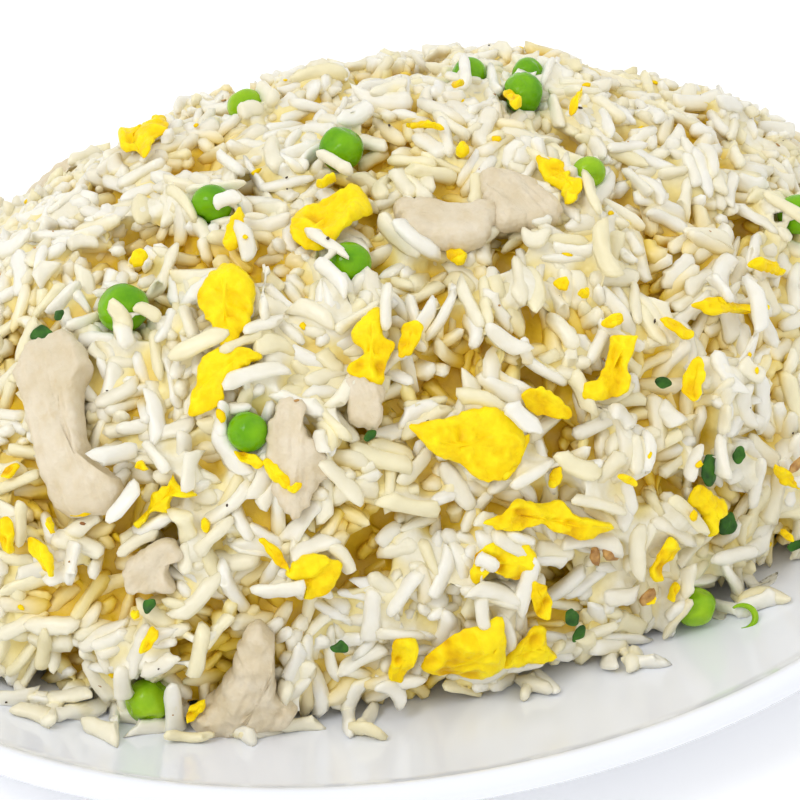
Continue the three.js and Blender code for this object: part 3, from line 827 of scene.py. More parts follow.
def largest_part(vertices, quads):
    """Only the largest connected part of a mesh."""
    label = np.arange(len(vertices))
    while True:
        lowest = label[quads].min(1)
        new = label.copy()
        for k in range(4):
            np.minimum.at(new, quads[:, k], lowest)
        new = new[new]
        if np.array_equal(new, label):
            break
        label = new
    main = np.bincount(label).argmax()
    kept = label == main
    numbers = np.cumsum(kept) - 1
    return vertices[kept], numbers[quads[kept[quads[:, 0]]]]


def plain_grains(grains):
    """One mesh of the grains as plain capsules, grown by the starch's reach."""
    sides, rings = 7, 5
    template = capsule_template(sides, rings)
    frames = grain_axes(grains.directions, np.array([0.3, 0.5, 0.8]))
    grown = grains.radii + STARCH_REACH
    half_lengths = (grains.half_lengths + 0.7 * STARCH_REACH)[:, None] * grains.directions
    bodies = grains.middles[:, None] + template[:, :1] * half_lengths[:, None]
    for k in (0, 1):
        bodies = bodies + template[:, k + 1, None] * (grown[:, None] * frames[k])[:, None]
    faces = repeated_faces(tube_faces(rings, sides), len(template), len(grains.middles))
    return bodies.reshape(-1, 3), faces


def voxel_union(bodies, material):
    """Vertices and four-sided faces of the surface round a mesh of overlapping bodies."""
    union = make_object("starch_union", *joined(bodies), material)
    remesh = union.modifiers.new("remesh", "REMESH")
    remesh.mode = "VOXEL"
    remesh.voxel_size = STARCH_VOXEL * MM
    ready = union.evaluated_get(bpy.context.evaluated_depsgraph_get()).to_mesh()
    vertices = np.empty(len(ready.vertices) * 3)
    ready.vertices.foreach_get("co", vertices)
    quads = np.empty(len(ready.loops), dtype=np.int32)
    ready.loops.foreach_get("vertex_index", quads)
    mesh = union.data
    bpy.data.objects.remove(union)
    bpy.data.meshes.remove(mesh)
    return vertices.reshape(-1, 3) / MM, quads.reshape(-1, 4)


def make_starch(grains, material):
    """The starch that sticks the grains together: their union, with its narrow gaps filled."""
    vertices, quads = voxel_union([plain_grains(grains), core_body(CORE_DEPTH)], material)
    vertices, quads = largest_part(vertices, quads)
    vertices = relaxed(vertices, quads, 0.5)
    depth = -above_rice(vertices)
    sink = STARCH_SINK - STARCH_MERGE * np.clip(2.5 * noise(vertices, 9.0, 5), -1, 1)
    sink = sink + 0.6 * np.clip(depth - 1.0, 0, 2)
    for _ in range(3):
        vertices = vertices - vertex_normals(vertices, quads) * ((STARCH_REACH + sink) / 3)[:, None]
        vertices = relaxed(vertices, quads, 0.3)
    vertices[:, 2] = np.maximum(vertices[:, 2], plate_height(vertices) + 0.15)
    # depth feeds the starch's painted shade.
    attributes = {"depth": np.clip(-above_rice(vertices), *DEPTH_RANGE)}
    belongs(make_object("rice_starch", vertices, quads, material, attributes=attributes), "rice")
    return vertices, quads


def buried(points, vertices, quads):
    """Which points lie under the surface of a closed mesh."""
    tree = BVHTree.FromPolygons(vertices.tolist(), quads.tolist())
    result = np.zeros(len(points), dtype=bool)
    for k, point in enumerate(points.tolist()):
        spot, normal, _, _ = tree.find_nearest(point)
        result[k] = (Vector(point) - spot).dot(normal) < -0.02
    return result


RICE_KINDS = ("rice_white", "rice_pale", "rice_cream", "rice_warm")
KIND_BOUNDS = [0.3, 0.56, 0.8]  # shares of the grains up to the end of each kind but the last


def make_grains(label, numbers, grains, draws, material, sides, rings):
    """One piece of rice: the grains with these numbers, as they lie among all the others."""
    mine = grains.chosen(numbers)
    bodies = grain_bodies(mine, draws, sides, rings)
    bodies[..., 2] = np.maximum(bodies[..., 2], plate_height(bodies) + 0.05)
    corners = bodies.shape[1]
    closeness, nearest = near_grains(bodies, numbers, grains)
    bodies = fill_seams(bodies, nearest, mine)
    depth = -(dome(bodies)[0] - lumps(bodies)) + mine.proud[:, None]
    # depth and hemmed feed the painted shade in the rice material; own is each grain's random tone.
    attributes = {"depth": np.clip(depth, *DEPTH_RANGE).ravel(), "hemmed": closeness.ravel(),
                  "own": np.repeat(draws.random(len(numbers)), corners)}
    faces = repeated_faces(tube_faces(rings, sides), corners, len(numbers))
    piece = make_object(label, bodies.reshape(-1, 3), faces, material, attributes=attributes)
    belongs(piece, "rice")
    return piece


def make_rice(draws, materials):
    """The heap: starch, and the grains over it, with finer meshes for those that show."""
    grains = pack_grains(draws)
    starch, starch_faces = make_starch(grains, materials["rice_starch"])
    samples = grain_bodies(grains, draws, 5, 3)
    hidden = buried(samples.reshape(-1, 3), starch, starch_faces).reshape(samples.shape[:2]).all(1)
    grains = grains.chosen(~hidden).followed_by(loose_grains(draws))
    middles = grains.middles
    tint = draws.random(len(middles)) * 0.6 + 0.4 * (0.5 + 0.5 * noise(middles, 16, 8))
    kind = np.searchsorted(np.quantile(tint, KIND_BOUNDS), tint)
    top = -(dome(middles)[0] - lumps(middles) - grains.proud) < TOP_DEPTH
    for is_top, ending, size in ((True, "", FINE_GRAIN), (False, "_under", COARSE_GRAIN)):
        for number, name in enumerate(RICE_KINDS):
            numbers = np.flatnonzero((kind == number) & (top == is_top))
            make_grains(name + ending, numbers, grains, draws, materials[name], *size)
    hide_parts("rice")
    return grains


def loose_grains(draws):
    """Grains that have slid off the heap and lie on the platter close to its foot."""
    turn = draws.uniform(0, TAU, LOOSE_GRAINS)
    out = 1.0 + 0.07 * draws.random(LOOSE_GRAINS) ** 2.5
    flat = HEAP_CENTRE + (HEAP_HALF * out[:, None]) * np.stack([np.cos(turn), np.sin(turn)], 1)
    radii = GRAIN_RADIUS * draws.uniform(0.88, 1.08, LOOSE_GRAINS)
    middles = np.column_stack([flat, np.zeros(LOOSE_GRAINS)])
    middles[:, 2] = plate_height(middles) + 0.9 * radii
    way = draws.uniform(0, TAU, LOOSE_GRAINS)
    directions = np.stack([np.cos(way), np.sin(way), np.zeros(LOOSE_GRAINS)], 1)
    ahead = plate_height(middles + 2 * directions) - plate_height(middles - 2 * directions)
    directions[:, 2] = ahead / 4
    half_lengths = GRAIN_HALF_LENGTH * draws.uniform(0.75, 1.1, LOOSE_GRAINS)
    return Grains(middles, unit(directions), half_lengths, radii, np.zeros(LOOSE_GRAINS))


def core_body(depth):
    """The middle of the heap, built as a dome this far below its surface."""
    rings, sides = 40, 120
    angles = np.linspace(0, math.pi / 2, rings + 1)
    turn = np.arange(sides) / sides * TAU
    half = HEAP_HALF - depth
    points = [np.array([*HEAP_CENTRE, HEAP_TOP - depth])]
    for angle in angles[1:]:
        spread = math.sin(angle) ** (2 / SHOULDER)
        rise = max(math.cos(angle), 0) ** (2 / ROUNDING)
        x = HEAP_CENTRE[0] + half[0] * spread * np.cos(turn)
        y = HEAP_CENTRE[1] + half[1] * spread * np.sin(turn)
        ring = np.column_stack([x, y, np.zeros(sides)])
        foot = plate_height(ring) + 0.4
        ring[:, 2] = foot + (HEAP_TOP - depth - foot) * rise
        points.extend(ring)
    points = np.array(points)
    swell = lumps(points) + clump_height(points)
    points += dome(points)[1] * (swell * (points[:, 2] > plate_height(points) + 2))[:, None]
    points[:, 2] = np.maximum(points[:, 2], plate_height(points) + 0.3)
    bottom = np.array([[*HEAP_CENTRE, WELL_HEIGHT + 0.3]])
    return np.concatenate([points, bottom]), tube_faces(rings, sides)[:, ::-1]


# ---------------------------------------------------------------- outlined bodies

SHEET_REST = 0.8  # a sheet of egg or leaf lies no higher than this over the rice
SUNK_REST = -0.9  # the same for egg that the picture doesn't show: it lies in its pocket
LARGE_HALF = 7.0  # a sheet that is longer than twice this has a finer mesh
CURD_THICKNESS, SHRED_THICKNESS = 0.65, 0.5  # half of the sheet, without its relief
LEAF_THICKNESS, SNIPPET_THICKNESS = 0.4, 0.25
FLAT_EDGE, THIN_EDGE = 5, 3  # powers: how far out a body keeps its thickness

# Outlines of the larger pieces, as they show in the picture.
OUTLINES = {
    "egg_01": [(288, 232), (302, 206), (330, 197), (358, 190), (371, 201), (365, 216), (344, 232), (323, 246),
               (302, 246)],
    "egg_02": [(196, 291), (224, 264), (241, 271), (254, 284), (250, 318), (241, 332), (236, 346), (223, 348),
               (214, 332), (205, 318)],
    "egg_03": [(236, 346), (262, 356), (244, 369), (226, 384), (219, 402), (186, 410), (195, 381), (200, 364),
               (214, 350)],
    "egg_04": [(352, 332), (365, 315), (380, 307), (384, 332), (396, 343), (385, 364), (380, 382), (347, 369),
               (364, 353)],
    "egg_05": [(411, 425), (448, 420), (473, 410), (502, 407), (526, 434), (525, 457), (517, 470), (488, 483),
               (473, 476), (459, 464), (432, 450)],
    "egg_06": [(481, 523), (499, 515), (518, 500), (541, 505), (563, 503), (579, 515), (611, 523), (611, 532),
               (579, 540), (544, 527), (512, 531)],
    "egg_07": [(486, 547), (502, 540), (521, 542), (537, 555), (521, 580), (489, 572), (476, 585),
               (473, 572)],
    "egg_08": [(612, 335), (630, 335), (638, 338), (630, 365), (632, 382), (626, 393), (590, 399), (586, 382),
               (600, 378), (612, 350)],
    "egg_09": [(422, 670), (451, 636), (483, 620), (502, 613), (502, 636), (504, 652), (493, 668), (476, 680),
               (454, 680)],
    "egg_10": [(497, 665), (518, 646), (534, 628), (547, 630), (549, 646), (558, 659), (528, 665)],
    "egg_11": [(393, 662), (396, 643), (409, 640), (419, 649), (409, 678), (401, 692), (392, 684)],
    "egg_12": [(286, 575), (308, 556), (340, 563), (343, 571), (330, 592), (304, 601), (305, 588)],
    "egg_13": [(650, 572), (668, 541), (675, 540), (682, 552), (664, 568), (662, 580), (652, 580)],
    "egg_14": [(700, 485), (716, 497), (727, 502), (729, 513), (716, 519), (709, 537), (700, 512),
               (690, 505)],
    "egg_15": [(132, 524), (140, 520), (147, 505), (150, 495), (168, 483), (172, 472), (178, 484), (196, 496),
               (171, 499), (168, 512), (150, 514), (138, 529)],
    "egg_16": [(120, 127), (133, 130), (141, 129), (147, 122), (155, 108), (164, 115), (167, 127), (157, 133),
               (151, 139), (143, 148), (133, 144), (121, 144)],
    "egg_17": [(538, 152), (561, 155), (571, 159), (571, 175), (581, 180), (581, 189), (576, 200), (566, 199),
               (561, 181), (544, 168)],
    "egg_18": [(694, 303), (722, 298), (758, 303), (768, 308), (730, 312), (716, 315), (704, 310)],
    "chicken_01": [(12, 375), (28, 340), (45, 335), (62, 330), (80, 343), (88, 362), (81, 378), (80, 398),
                   (84, 442), (89, 460), (118, 482), (104, 508), (82, 515), (60, 512), (47, 497), (22, 405)],
    "chicken_02": [(480, 180), (490, 172), (525, 178), (545, 190), (560, 205), (556, 218), (515, 225),
                   (495, 222), (487, 205)],
    "chicken_03": [(395, 203), (420, 200), (450, 207), (495, 200), (497, 215), (480, 242), (425, 240),
                   (398, 220)],
    "chicken_04": [(346, 378), (374, 381), (384, 395), (380, 426), (362, 428), (350, 420)],
    "chicken_05": [(192, 720), (198, 736), (220, 738), (243, 726), (262, 728), (297, 714), (276, 685),
                   (273, 648), (268, 634), (255, 627), (238, 648), (224, 684)],
    "chicken_06": [(126, 592), (128, 563), (156, 543), (170, 540), (181, 557), (170, 567), (172, 592),
                   (158, 594), (138, 594)],
    "chicken_07": [(278, 400), (304, 405), (302, 425), (326, 450), (328, 470), (306, 510), (292, 520),
                   (272, 490), (268, 440)],
}

# How far from its outline each sheet is folded over: the way to that edge in degrees, then mm.
FOLDS = {"egg_01": (-60, 4.0), "egg_02": (150, 5.0), "egg_03": (80, 3.0), "egg_04": (20, 4.5),
         "egg_05": (75, 4.6), "egg_06": (90, 2.6), "egg_07": (60, 3.6), "egg_08": (-70, 3.0),
         "egg_09": (-30, 5.0), "egg_10": (-90, 3.0), "egg_12": (100, 2.6)}


def smooth_outline(corners, count):
    """A closed curve through the corners, rounded a little, as evenly spaced points."""
    corners = np.array(corners)
    fine = []
    for k in range(len(corners)):
        before, here, after, later = (corners[(k + step) % len(corners)] for step in (-1, 0, 1, 2))
        bend = 2 * before - 5 * here + 4 * after - later
        twist = 3 * here - before - 3 * after + later
        for t in np.arange(24) / 24:
            fine.append(0.5 * (2 * here + (after - before) * t + bend * t ** 2 + twist * t ** 3))
    fine = np.array(fine)
    if np.cross(fine, np.roll(fine, -1, 0)).sum() < 0:
        fine = fine[::-1]
    run = np.concatenate([[0], np.cumsum(np.linalg.norm(np.roll(fine, -1, 0) - fine, axis=1))])
    closed = np.concatenate([fine, fine[:1]])
    at = np.arange(count) / count * run[-1]
    return np.stack([np.interp(at, run, closed[:, axis]) for axis in (0, 1)], 1)


def traced(place, corners):
    """Corners in the picture as points lengthways and across in a topping's own plane."""
    plane = place.middle + 0.4 * place.normal
    points = []
    for across, down in corners:
        way = sight(across, down)
        reach = ((plane - EYE) @ place.normal) / (way @ place.normal)
        points.append(((EYE + reach * way - place.middle) @ place.axes.T)[:2])
    return np.array(points)


def outline_of(name, place, draws):
    """A topping's outline as the picture has it, or a made-up one where it is out of sight."""
    return traced(place, OUTLINES[name]) if name in OUTLINES else torn_outline(place.half, draws)


def torn_outline(half, draws):
    """A made-up outline of nine corners, within about these half sizes."""
    turn = np.arange(9) / 9 * TAU + draws.uniform(-0.2, 0.2, 9)
    reach = draws.uniform(0.78, 1.08, 9)
    return np.stack([half[0] * reach * np.cos(turn), half[1] * reach * np.sin(turn)], 1)


def outlined_body(outline, draws, thick, height, edge=FLAT_EDGE, sway=0.0, rings=12, ragged=0.25):
    """A flat closed body over an outline, and how raised each vertex is by height's relief.

    Its rings run from a short line in the middle out to the outline and back below.
    """
    around = np.linalg.norm(np.roll(outline, -1, 0) - outline, axis=1).sum()
    sides = int(np.clip(2.6 * around, 40, 120))
    rim = smooth_outline(outline, sides)
    middle = (rim.max(0) + rim.min(0)) / 2
    outward = unit(np.roll(rim, -1, 0) - np.roll(rim, 1, 0)) @ np.array([[0, -1], [1, 0]])
    phase = draws.uniform(0, 50)
    round_it = with_depth(rim, phase)
    rim = rim + outward * (ragged * (0.8 * noise(round_it, 2.6, 3) + 0.7 * noise(round_it, 0.9, 4)))[:, None]
    spine = middle + (rim - middle) * np.array([0.5, 0.12])
    shares = np.sin(np.linspace(0, 1, rings) * math.pi / 2)
    spots = spine + (rim - spine) * shares[:, None, None]
    rounding = np.sqrt(np.maximum(1 - shares ** edge, 0))[:, None]
    relief = height(spots)
    wave = sway * noise(with_depth(spots, phase), 6.0, 6)
    upper = np.concatenate([spots, (wave + rounding * (thick + relief))[..., None]], -1)
    lower = np.concatenate([spots, (wave - rounding * thick)[..., None]], -1)
    points = [upper[0].mean(0, keepdims=True), *upper, *lower[-2::-1], lower[0].mean(0, keepdims=True)]
    raised = [relief[0].mean(keepdims=True), *relief, *(0 * relief[-2::-1]), np.zeros(1)]
    return np.concatenate(points), tube_faces(2 * rings - 1, sides)[:, ::-1], np.concatenate(raised)


def above_dome(points):
    """Height over the smooth dome."""
    return dome(points)[0]


def laid_on_heap(place, points, height, surface):
    """Bends a flat body over a surface, this high above it; up in the body is out of the heap."""
    base = place.middle + points[:, :2] @ place.axes[:2]
    for _ in range(3):
        steepness = np.maximum(dome(base)[1] @ place.normal, 0.4)
        base = base - place.normal * ((surface(base) - height) / steepness)[:, None]
    return base + dome(base)[1] * points[:, 2:]


def laid_sheet(place, points, lift, rest=SHEET_REST):
    """Lays a thin sheet at its solid's height, or lower where that would leave it in the air."""
    height = min(above_rice(place.middle[None])[0] + lift, rest)
    return laid_on_heap(place, points, height, above_rice)


def curd_relief(outline, fold, seed):
    """Cooked egg's surface: ridges, dimples, fine curds, and one edge folded over."""
    way, width = fold
    towards = np.array([math.cos(math.radians(way)), math.sin(math.radians(way))])
    furthest = (np.array(outline) @ towards).max()

    def height(spots):
        deep = with_depth(spots, 3.7 * seed)
        ridges = 1 - 2 * np.abs(noise(deep, 3.4, 11))
        dimples = np.clip(noise(deep, 1.9, 12) - 0.15, 0, 1)
        curds = 0.5 * ridges - 0.8 * dimples + 0.34 * noise(deep, 1.1, 13) + 0.16 * noise(deep, 0.6, 17)
        inside = furthest - spots @ towards + 0.9 * noise(deep, 2.6, 14)
        lap = 1 / (1 + np.exp(np.clip((inside - width) / 0.14, -30, 30)))
        return curds + 0.95 * lap

    return height


def egg_body(place, outline, fold, seed, draws, lift, rest=SHEET_REST, thick=CURD_THICKNESS, rings=12):
    """A folded sheet of cooked egg over an outline, laid on the heap."""
    height = curd_relief(outline, fold, seed)
    points, faces, raised = outlined_body(outline, draws, thick, height, sway=1.2, rings=rings, ragged=0.45)
    return laid_sheet(place, points, lift, rest), faces, raised


def make_eggs(draws, material):
    for name, number, place in toppings("egg"):
        outline = outline_of(name, place, draws)
        fold = FOLDS.get(name, (draws.uniform(0, 360), draws.uniform(1.5, 2.5)))
        rings = 16 if place.half[0] > LARGE_HALF else 12
        rest = SHEET_REST if name in OUTLINES else SUNK_REST
        lift = 0.45 * place.half[2]
        points, faces, raised = egg_body(place, outline, fold, number, draws, lift, rest, rings=rings)
        # raised feeds the egg's painted shade and painted light.
        piece = make_object(name + "_curd", points, faces, material, attributes={"raised": raised})
        belongs(piece, "egg", name)


# Smaller shreds of egg, too small for solids of their own: both ends in the picture, and the width.
EGG_SHREDS = [
    (416, 318, 404, 358, 4.2), (500, 480, 524, 430, 4.0), (534, 580, 548, 618, 4.0),
    (258, 535, 290, 572, 2.2), (662, 314, 694, 342, 3.4), (698, 357, 690, 402, 3.3),
    (519, 391, 568, 418, 4.6), (240, 205, 228, 256, 3.2), (752, 262, 788, 272, 2.6),
    (232, 452, 266, 465, 2.2), (263, 459, 290, 488, 2.2), (286, 491, 302, 484, 1.8),
    (33, 538, 58, 574, 3.0), (50, 517, 55, 535, 1.6), (2, 478, 15, 462, 2.4), (5, 518, 9, 554, 2.4),
    (68, 515, 100, 506, 1.5), (204, 519, 207, 533, 1.5), (143, 650, 158, 626, 2.4),
    (133, 617, 140, 607, 1.8), (136, 461, 150, 471, 2.0), (185, 720, 208, 697, 2.6),
    (770, 462, 795, 489, 2.4), (777, 525, 783, 538, 1.6), (598, 326, 622, 322, 2.0),
    (451, 244, 461, 268, 3.4), (466, 230, 484, 239, 2.0), (558, 292, 564, 279, 2.6),
    (577, 297, 589, 293, 2.0), (133, 272, 147, 259, 3.0), (316, 188, 334, 180, 2.8),
    (561, 467, 551, 487, 2.4), (620, 475, 638, 486, 1.6), (508, 88, 518, 114, 2.6),
    (458, 158, 467, 147, 2.2), (404, 120, 444, 128, 1.6), (453, 92, 462, 89, 1.4),
    (572, 110, 581, 90, 1.8), (668, 602, 677, 579, 2.4), (643, 600, 653, 594, 1.6),
]
FAR_SHREDS = 14  # made-up ones on the side that the picture doesn't show


def far_spots(draws, count):
    """Places on the side of the heap that the picture doesn't show."""
    spots = [heap_spot(draws.uniform(10, 130), draws.uniform(12, 40), 0.4) for _ in range(4 * count)]
    return [spot for spot in spots if dome(spot)[1] @ VIEW_BACK < -0.3][:count]


class Spot:
    """A place on the heap and its axes: lengthways, across, and out of the heap."""

    def __init__(self, middle, lengthways, half):
        self.middle = middle
        self.normal = dome(middle)[1]
        along = unit(lengthways - (lengthways @ self.normal) * self.normal)
        self.axes = np.stack([along, np.cross(self.normal, along), self.normal])
        self.half = np.array(half)


def shred_spots(draws):
    """The shreds that the picture shows, and others on the far side."""
    spots = []
    for *ends, width in EGG_SHREDS:
        first, second = seen_on_heap(*ends[:2], 0.6), seen_on_heap(*ends[2:], 0.6)
        middle = seen_on_heap((ends[0] + ends[2]) / 2, (ends[1] + ends[3]) / 2, 0.6)
        half_length = np.clip(np.linalg.norm(second - first) / 2, 0.6, 5.5)
        spots.append(Spot(middle, second - first, (half_length, width / 2, 0.7)))
    for middle in far_spots(draws, FAR_SHREDS):
        half = (draws.uniform(1.5, 4.5), draws.uniform(0.8, 2.0), 0.7)
        spots.append(Spot(middle, draws.normal(0, 1, 3), half))
    return spots


def make_egg_shreds(draws, material):
    """All shreds as one piece."""
    bodies, raised = [], []
    for seed, spot in enumerate(shred_spots(draws), 50):
        outline = torn_outline(spot.half, draws)
        fold = (draws.uniform(0, 360), 0.5 * spot.half[1])
        body = egg_body(spot, outline, fold, seed, draws, 0.3, thick=SHRED_THICKNESS, rings=8)
        points, faces, heights = body
        bodies.append((points, faces))
        raised.append(heights)
    vertices, triangles = joined(bodies)
    # raised feeds the egg's painted shade and painted light.
    attributes = {"raised": np.concatenate(raised)}
    belongs(make_object("egg_shreds", vertices, triangles, material, attributes=attributes), "egg")


# Snippets of green leaf: the place in the picture, then length and width.
LEAF_SNIPPETS = [
    (570, 616, 4.6, 2.6), (579, 634, 4.0, 2.4), (340, 645, 3.4, 2.0), (522, 543, 3.0, 2.4),
    (150, 604, 2.6, 1.8), (664, 382, 3.0, 2.0), (60, 316, 2.2, 1.6), (797, 545, 3.6, 2.2),
    (370, 435, 2.6, 2.0), (738, 455, 3.0, 2.0),
]
FAR_SNIPPETS = 5


def leaf_relief(seed):
    """A wilted leaf's surface: fine veins and slow waves."""
    def height(spots):
        deep = with_depth(spots, 2.3 * seed)
        return 0.2 * noise(deep * np.array([0.3, 1, 1]), 0.8, 15) + 0.3 * noise(deep, 2.0, 16)
    return height


def make_scallions(draws, material):
    for name, number, place in toppings("scallion"):
        outline = torn_outline(place.half, draws)
        relief = leaf_relief(number)
        points, faces, _ = outlined_body(outline, draws, LEAF_THICKNESS, relief, THIN_EDGE, sway=1.4)
        world = laid_sheet(place, points, 0.2 * place.half[2])
        belongs(make_object(name + "_leaf", world, faces, material), "scallion", name)


def make_leaf_snippets(draws, material):
    """The snippets that the picture shows, and others on the far side, as one piece."""
    bodies = []
    snippets = [(seen_on_heap(across, down, 0.5), *size) for across, down, *size in LEAF_SNIPPETS]
    snippets += [(middle, 3.2, 2.0) for middle in far_spots(draws, FAR_SNIPPETS)]
    for seed, (middle, length, width) in enumerate(snippets, 20):
        spot = Spot(middle, draws.normal(0, 1, 3), (length / 2, width / 2, 0.4))
        outline = torn_outline(spot.half, draws)
        relief = leaf_relief(seed)
        points, faces, _ = outlined_body(outline, draws, SNIPPET_THICKNESS, relief, THIN_EDGE, 0.7, 7)
        bodies.append((laid_sheet(spot, points, 0.2), faces))
    belongs(make_object("leaf_snippets", *joined(bodies), material), "scallion")


# ---------------------------------------------------------------- peas and chicken

def ball(sides, rings):
    """A ball of radius 1."""
    turn = np.arange(sides) / sides * TAU
    drop = np.linspace(0, math.pi, rings + 2)[1:-1]
    points = [[0, 0, 1.0]]
    for angle in drop:
        for side in turn:
            width = math.sin(angle)
            points.append([width * math.cos(side), width * math.sin(side), math.cos(angle)])
    points.append([0, 0, -1.0])
    return np.array(points), tube_faces(rings, sides)[:, ::-1]


WRINKLED = (1, 6, 7, 9, 13, 16)  # by the peas' numbers
LIGHT_GREEN = (6, 7, 10, 11)


def pea_swell(base, number, draws):
    """How far a pea's skin stands out at each point, with its dents and wrinkles."""
    wrinkled = number in WRINKLED
    dents, deepest, wrinkles = (9, 0.22, 0.08) if wrinkled else (4, 0.13, 0.025)
    swell = np.ones(len(base))
    for way in unit(draws.normal(0, 1, (dents, 3))):
        near = np.arccos(np.clip(base @ way, -1, 1))
        depth = draws.uniform(0.05, deepest)
        swell -= depth * np.exp(-(near / draws.uniform(0.18, 0.45)) ** 2)
    creased = np.clip(noise(base, 0.9, number), 0, 1)
    folds = 1 - np.abs(noise(base * np.array([1, 1, 0.35]), 0.16, number + 30))
    return swell + (wrinkles * creased * folds + 0.02 * noise(base, 0.8, number + 60))


def make_peas(draws, materials):
    base, faces = ball(56, 38)
    for name, number, place in toppings("pea"):
        points = base * pea_swell(base, number, draws)[:, None] * place.half
        turned = np.linalg.qr(draws.normal(0, 1, (3, 3)))[0]
        shade = materials["pea_light" if number in LIGHT_GREEN else "pea"]
        piece = make_object(name + "_skin", place.middle + points @ turned.T, faces, shade)
        belongs(piece, "pea", name)


USUAL_CRAG = 0.3
# How craggy each piece of chicken is, where it isn't that.
CRAGS = {"chicken_05": 0.8, "chicken_07": 0.4, "chicken_08": 0.5, "chicken_09": 0.7, "chicken_10": 0.5}


def meat_relief(crag, seed):
    """Cooked chicken's surface: fibres that run lengthways, soft swells, and crags."""
    def height(spots):
        deep = with_depth(spots, 5.1 * seed)
        fibres = deep * np.array([0.13, 1, 1])
        relief = 0.3 * noise(fibres, 0.7, 31) + 0.4 * noise(fibres, 1.7, 32) + 0.6 * noise(deep, 4.0, 33)
        return relief + crag * (0.8 * rough(deep, 3.4, 34) - 0.4 * np.abs(noise(deep, 1.6, 35)))
    return height


def make_chicken(draws, material):
    for name, number, place in toppings("chicken"):
        outline = outline_of(name, place, draws)
        height = meat_relief(CRAGS.get(name, USUAL_CRAG), number)
        points, faces, _ = outlined_body(outline, draws, 0.92 * place.half[2], height, rings=24, ragged=0.6)
        world = laid_on_heap(place, points, above_dome(place.middle), above_dome)
        belongs(make_object(name + "_meat", world, faces, material), "chicken", name)


SKIN_PLACE = (742, 617)  # in the picture
SKIN_RADIUS, SKIN_THICKNESS = 2.3, 0.6
SKIN_RIGHT = np.array([0.93, -0.366, 0.0])  # the loop's own two directions
SKIN_AWAY = np.array([0.27, 0.68, 0.5])
SKIN_FROM, SKIN_OPEN = -95, 225  # degrees: where the loop starts, and how far it goes round


def make_pea_skin(material):
    """A split pea skin on the platter at the foot of the heap: an open, leaning loop."""
    sides, rings = 12, 36
    sights = line_of_sight(*SKIN_PLACE)
    middle = first_within(sights, sights[:, 2] - plate_height(sights) - 1.5)
    flat = np.cross(SKIN_RIGHT, SKIN_AWAY)
    points = []
    for share in np.linspace(0, 1, rings):
        angle = math.radians(SKIN_FROM + SKIN_OPEN * share)
        way = math.cos(angle) * SKIN_RIGHT + math.sin(angle) * SKIN_AWAY
        thick = SKIN_THICKNESS * math.sqrt(math.sin(math.pi * (0.04 + 0.92 * share)))
        for spin in np.arange(sides) / sides * TAU:
            round_it = math.cos(spin) * way + 1.5 * math.sin(spin) * flat
            points.append(middle + SKIN_RADIUS * way + thick * round_it)
    points = np.array(points)
    first, last = points[:sides].mean(0, keepdims=True), points[-sides:].mean(0, keepdims=True)
    vertices = np.concatenate([first, points, last])
    belongs(make_object("pea_skin", vertices, tube_faces(rings, sides)[:, ::-1], material), "pea")


# ---------------------------------------------------------------- crumbs and specks

UPPER_DEPTH = 3.6  # grains whose middles lie no deeper can carry a crumb


def scatter(draws, grains, count, size, keep_out=0.5):
    """Places on the upper grains, clear of the toppings."""
    outside, normals = dome(grains.middles)
    upper = np.flatnonzero(outside - lumps(grains.middles) > -UPPER_DEPTH)
    chosen = draws.choice(upper, 3 * count, replace=False)
    spots = grains.middles[chosen] + normals[chosen] * (grains.radii[chosen] * 0.9)[:, None]
    for place in PLACES.values():
        local = (spots - place.middle) @ place.axes.T
        clear = np.linalg.norm(local / (place.half + keep_out + size), axis=1) > 1
        spots, chosen = spots[clear], chosen[clear]
    return spots[:count], normals[chosen][:count]


def make_bits(name, slot, material, draws, places, sizes, flat, sides=8, rings=5):
    """Small rounded bits at places on the heap, each turned and sized by a draw."""
    base, faces = ball(sides, rings)
    parts = []
    for k, (spot, normal) in enumerate(zip(*places)):
        level, uphill = surface_axes(normal)
        turn = draws.uniform(0, TAU)
        along = math.cos(turn) * level + math.sin(turn) * uphill
        axes = np.stack([along, np.cross(normal, along), normal])
        size = draws.uniform(*sizes)
        half = size * np.array([draws.uniform(1.0, 1.7), draws.uniform(0.6, 1.0), flat]) / 2
        swell = 1 + 0.35 * noise(base, 0.8, k)
        parts.append((spot + (base * swell[:, None] * half) @ axes, faces))
    belongs(make_object(name, *joined(parts), material), slot)


BROWNED_PLACES = [(596, 555), (612, 551), (797, 465), (648, 597)]  # in the picture


def make_crumbs(draws, grains, materials):
    """Crumbs of egg, pepper and browned specks, and a few larger browned bits."""
    egg, pepper, browned = (materials[name] for name in ("egg", "pepper", "browned"))
    places = scatter(draws, grains, 70, 1.0)
    make_bits("egg_crumbs", "egg", egg, draws, places, (0.8, 1.9), 0.55)
    places = scatter(draws, grains, 90, 0.3)
    make_bits("pepper_specks", "chicken", pepper, draws, places, (0.25, 0.7), 0.6, 6, 3)
    places = scatter(draws, grains, 60, 0.3)
    make_bits("browned_specks", "chicken", browned, draws, places, (0.3, 1.0), 0.5, 6, 3)
    spots = np.array([seen_on_heap(*place, 0.9) for place in BROWNED_PLACES])
    make_bits("browned_bits", "chicken", browned, draws, (spots, dome(spots)[1]), (2.6, 3.6), 0.45, 12, 8)


# ---------------------------------------------------------------- platter

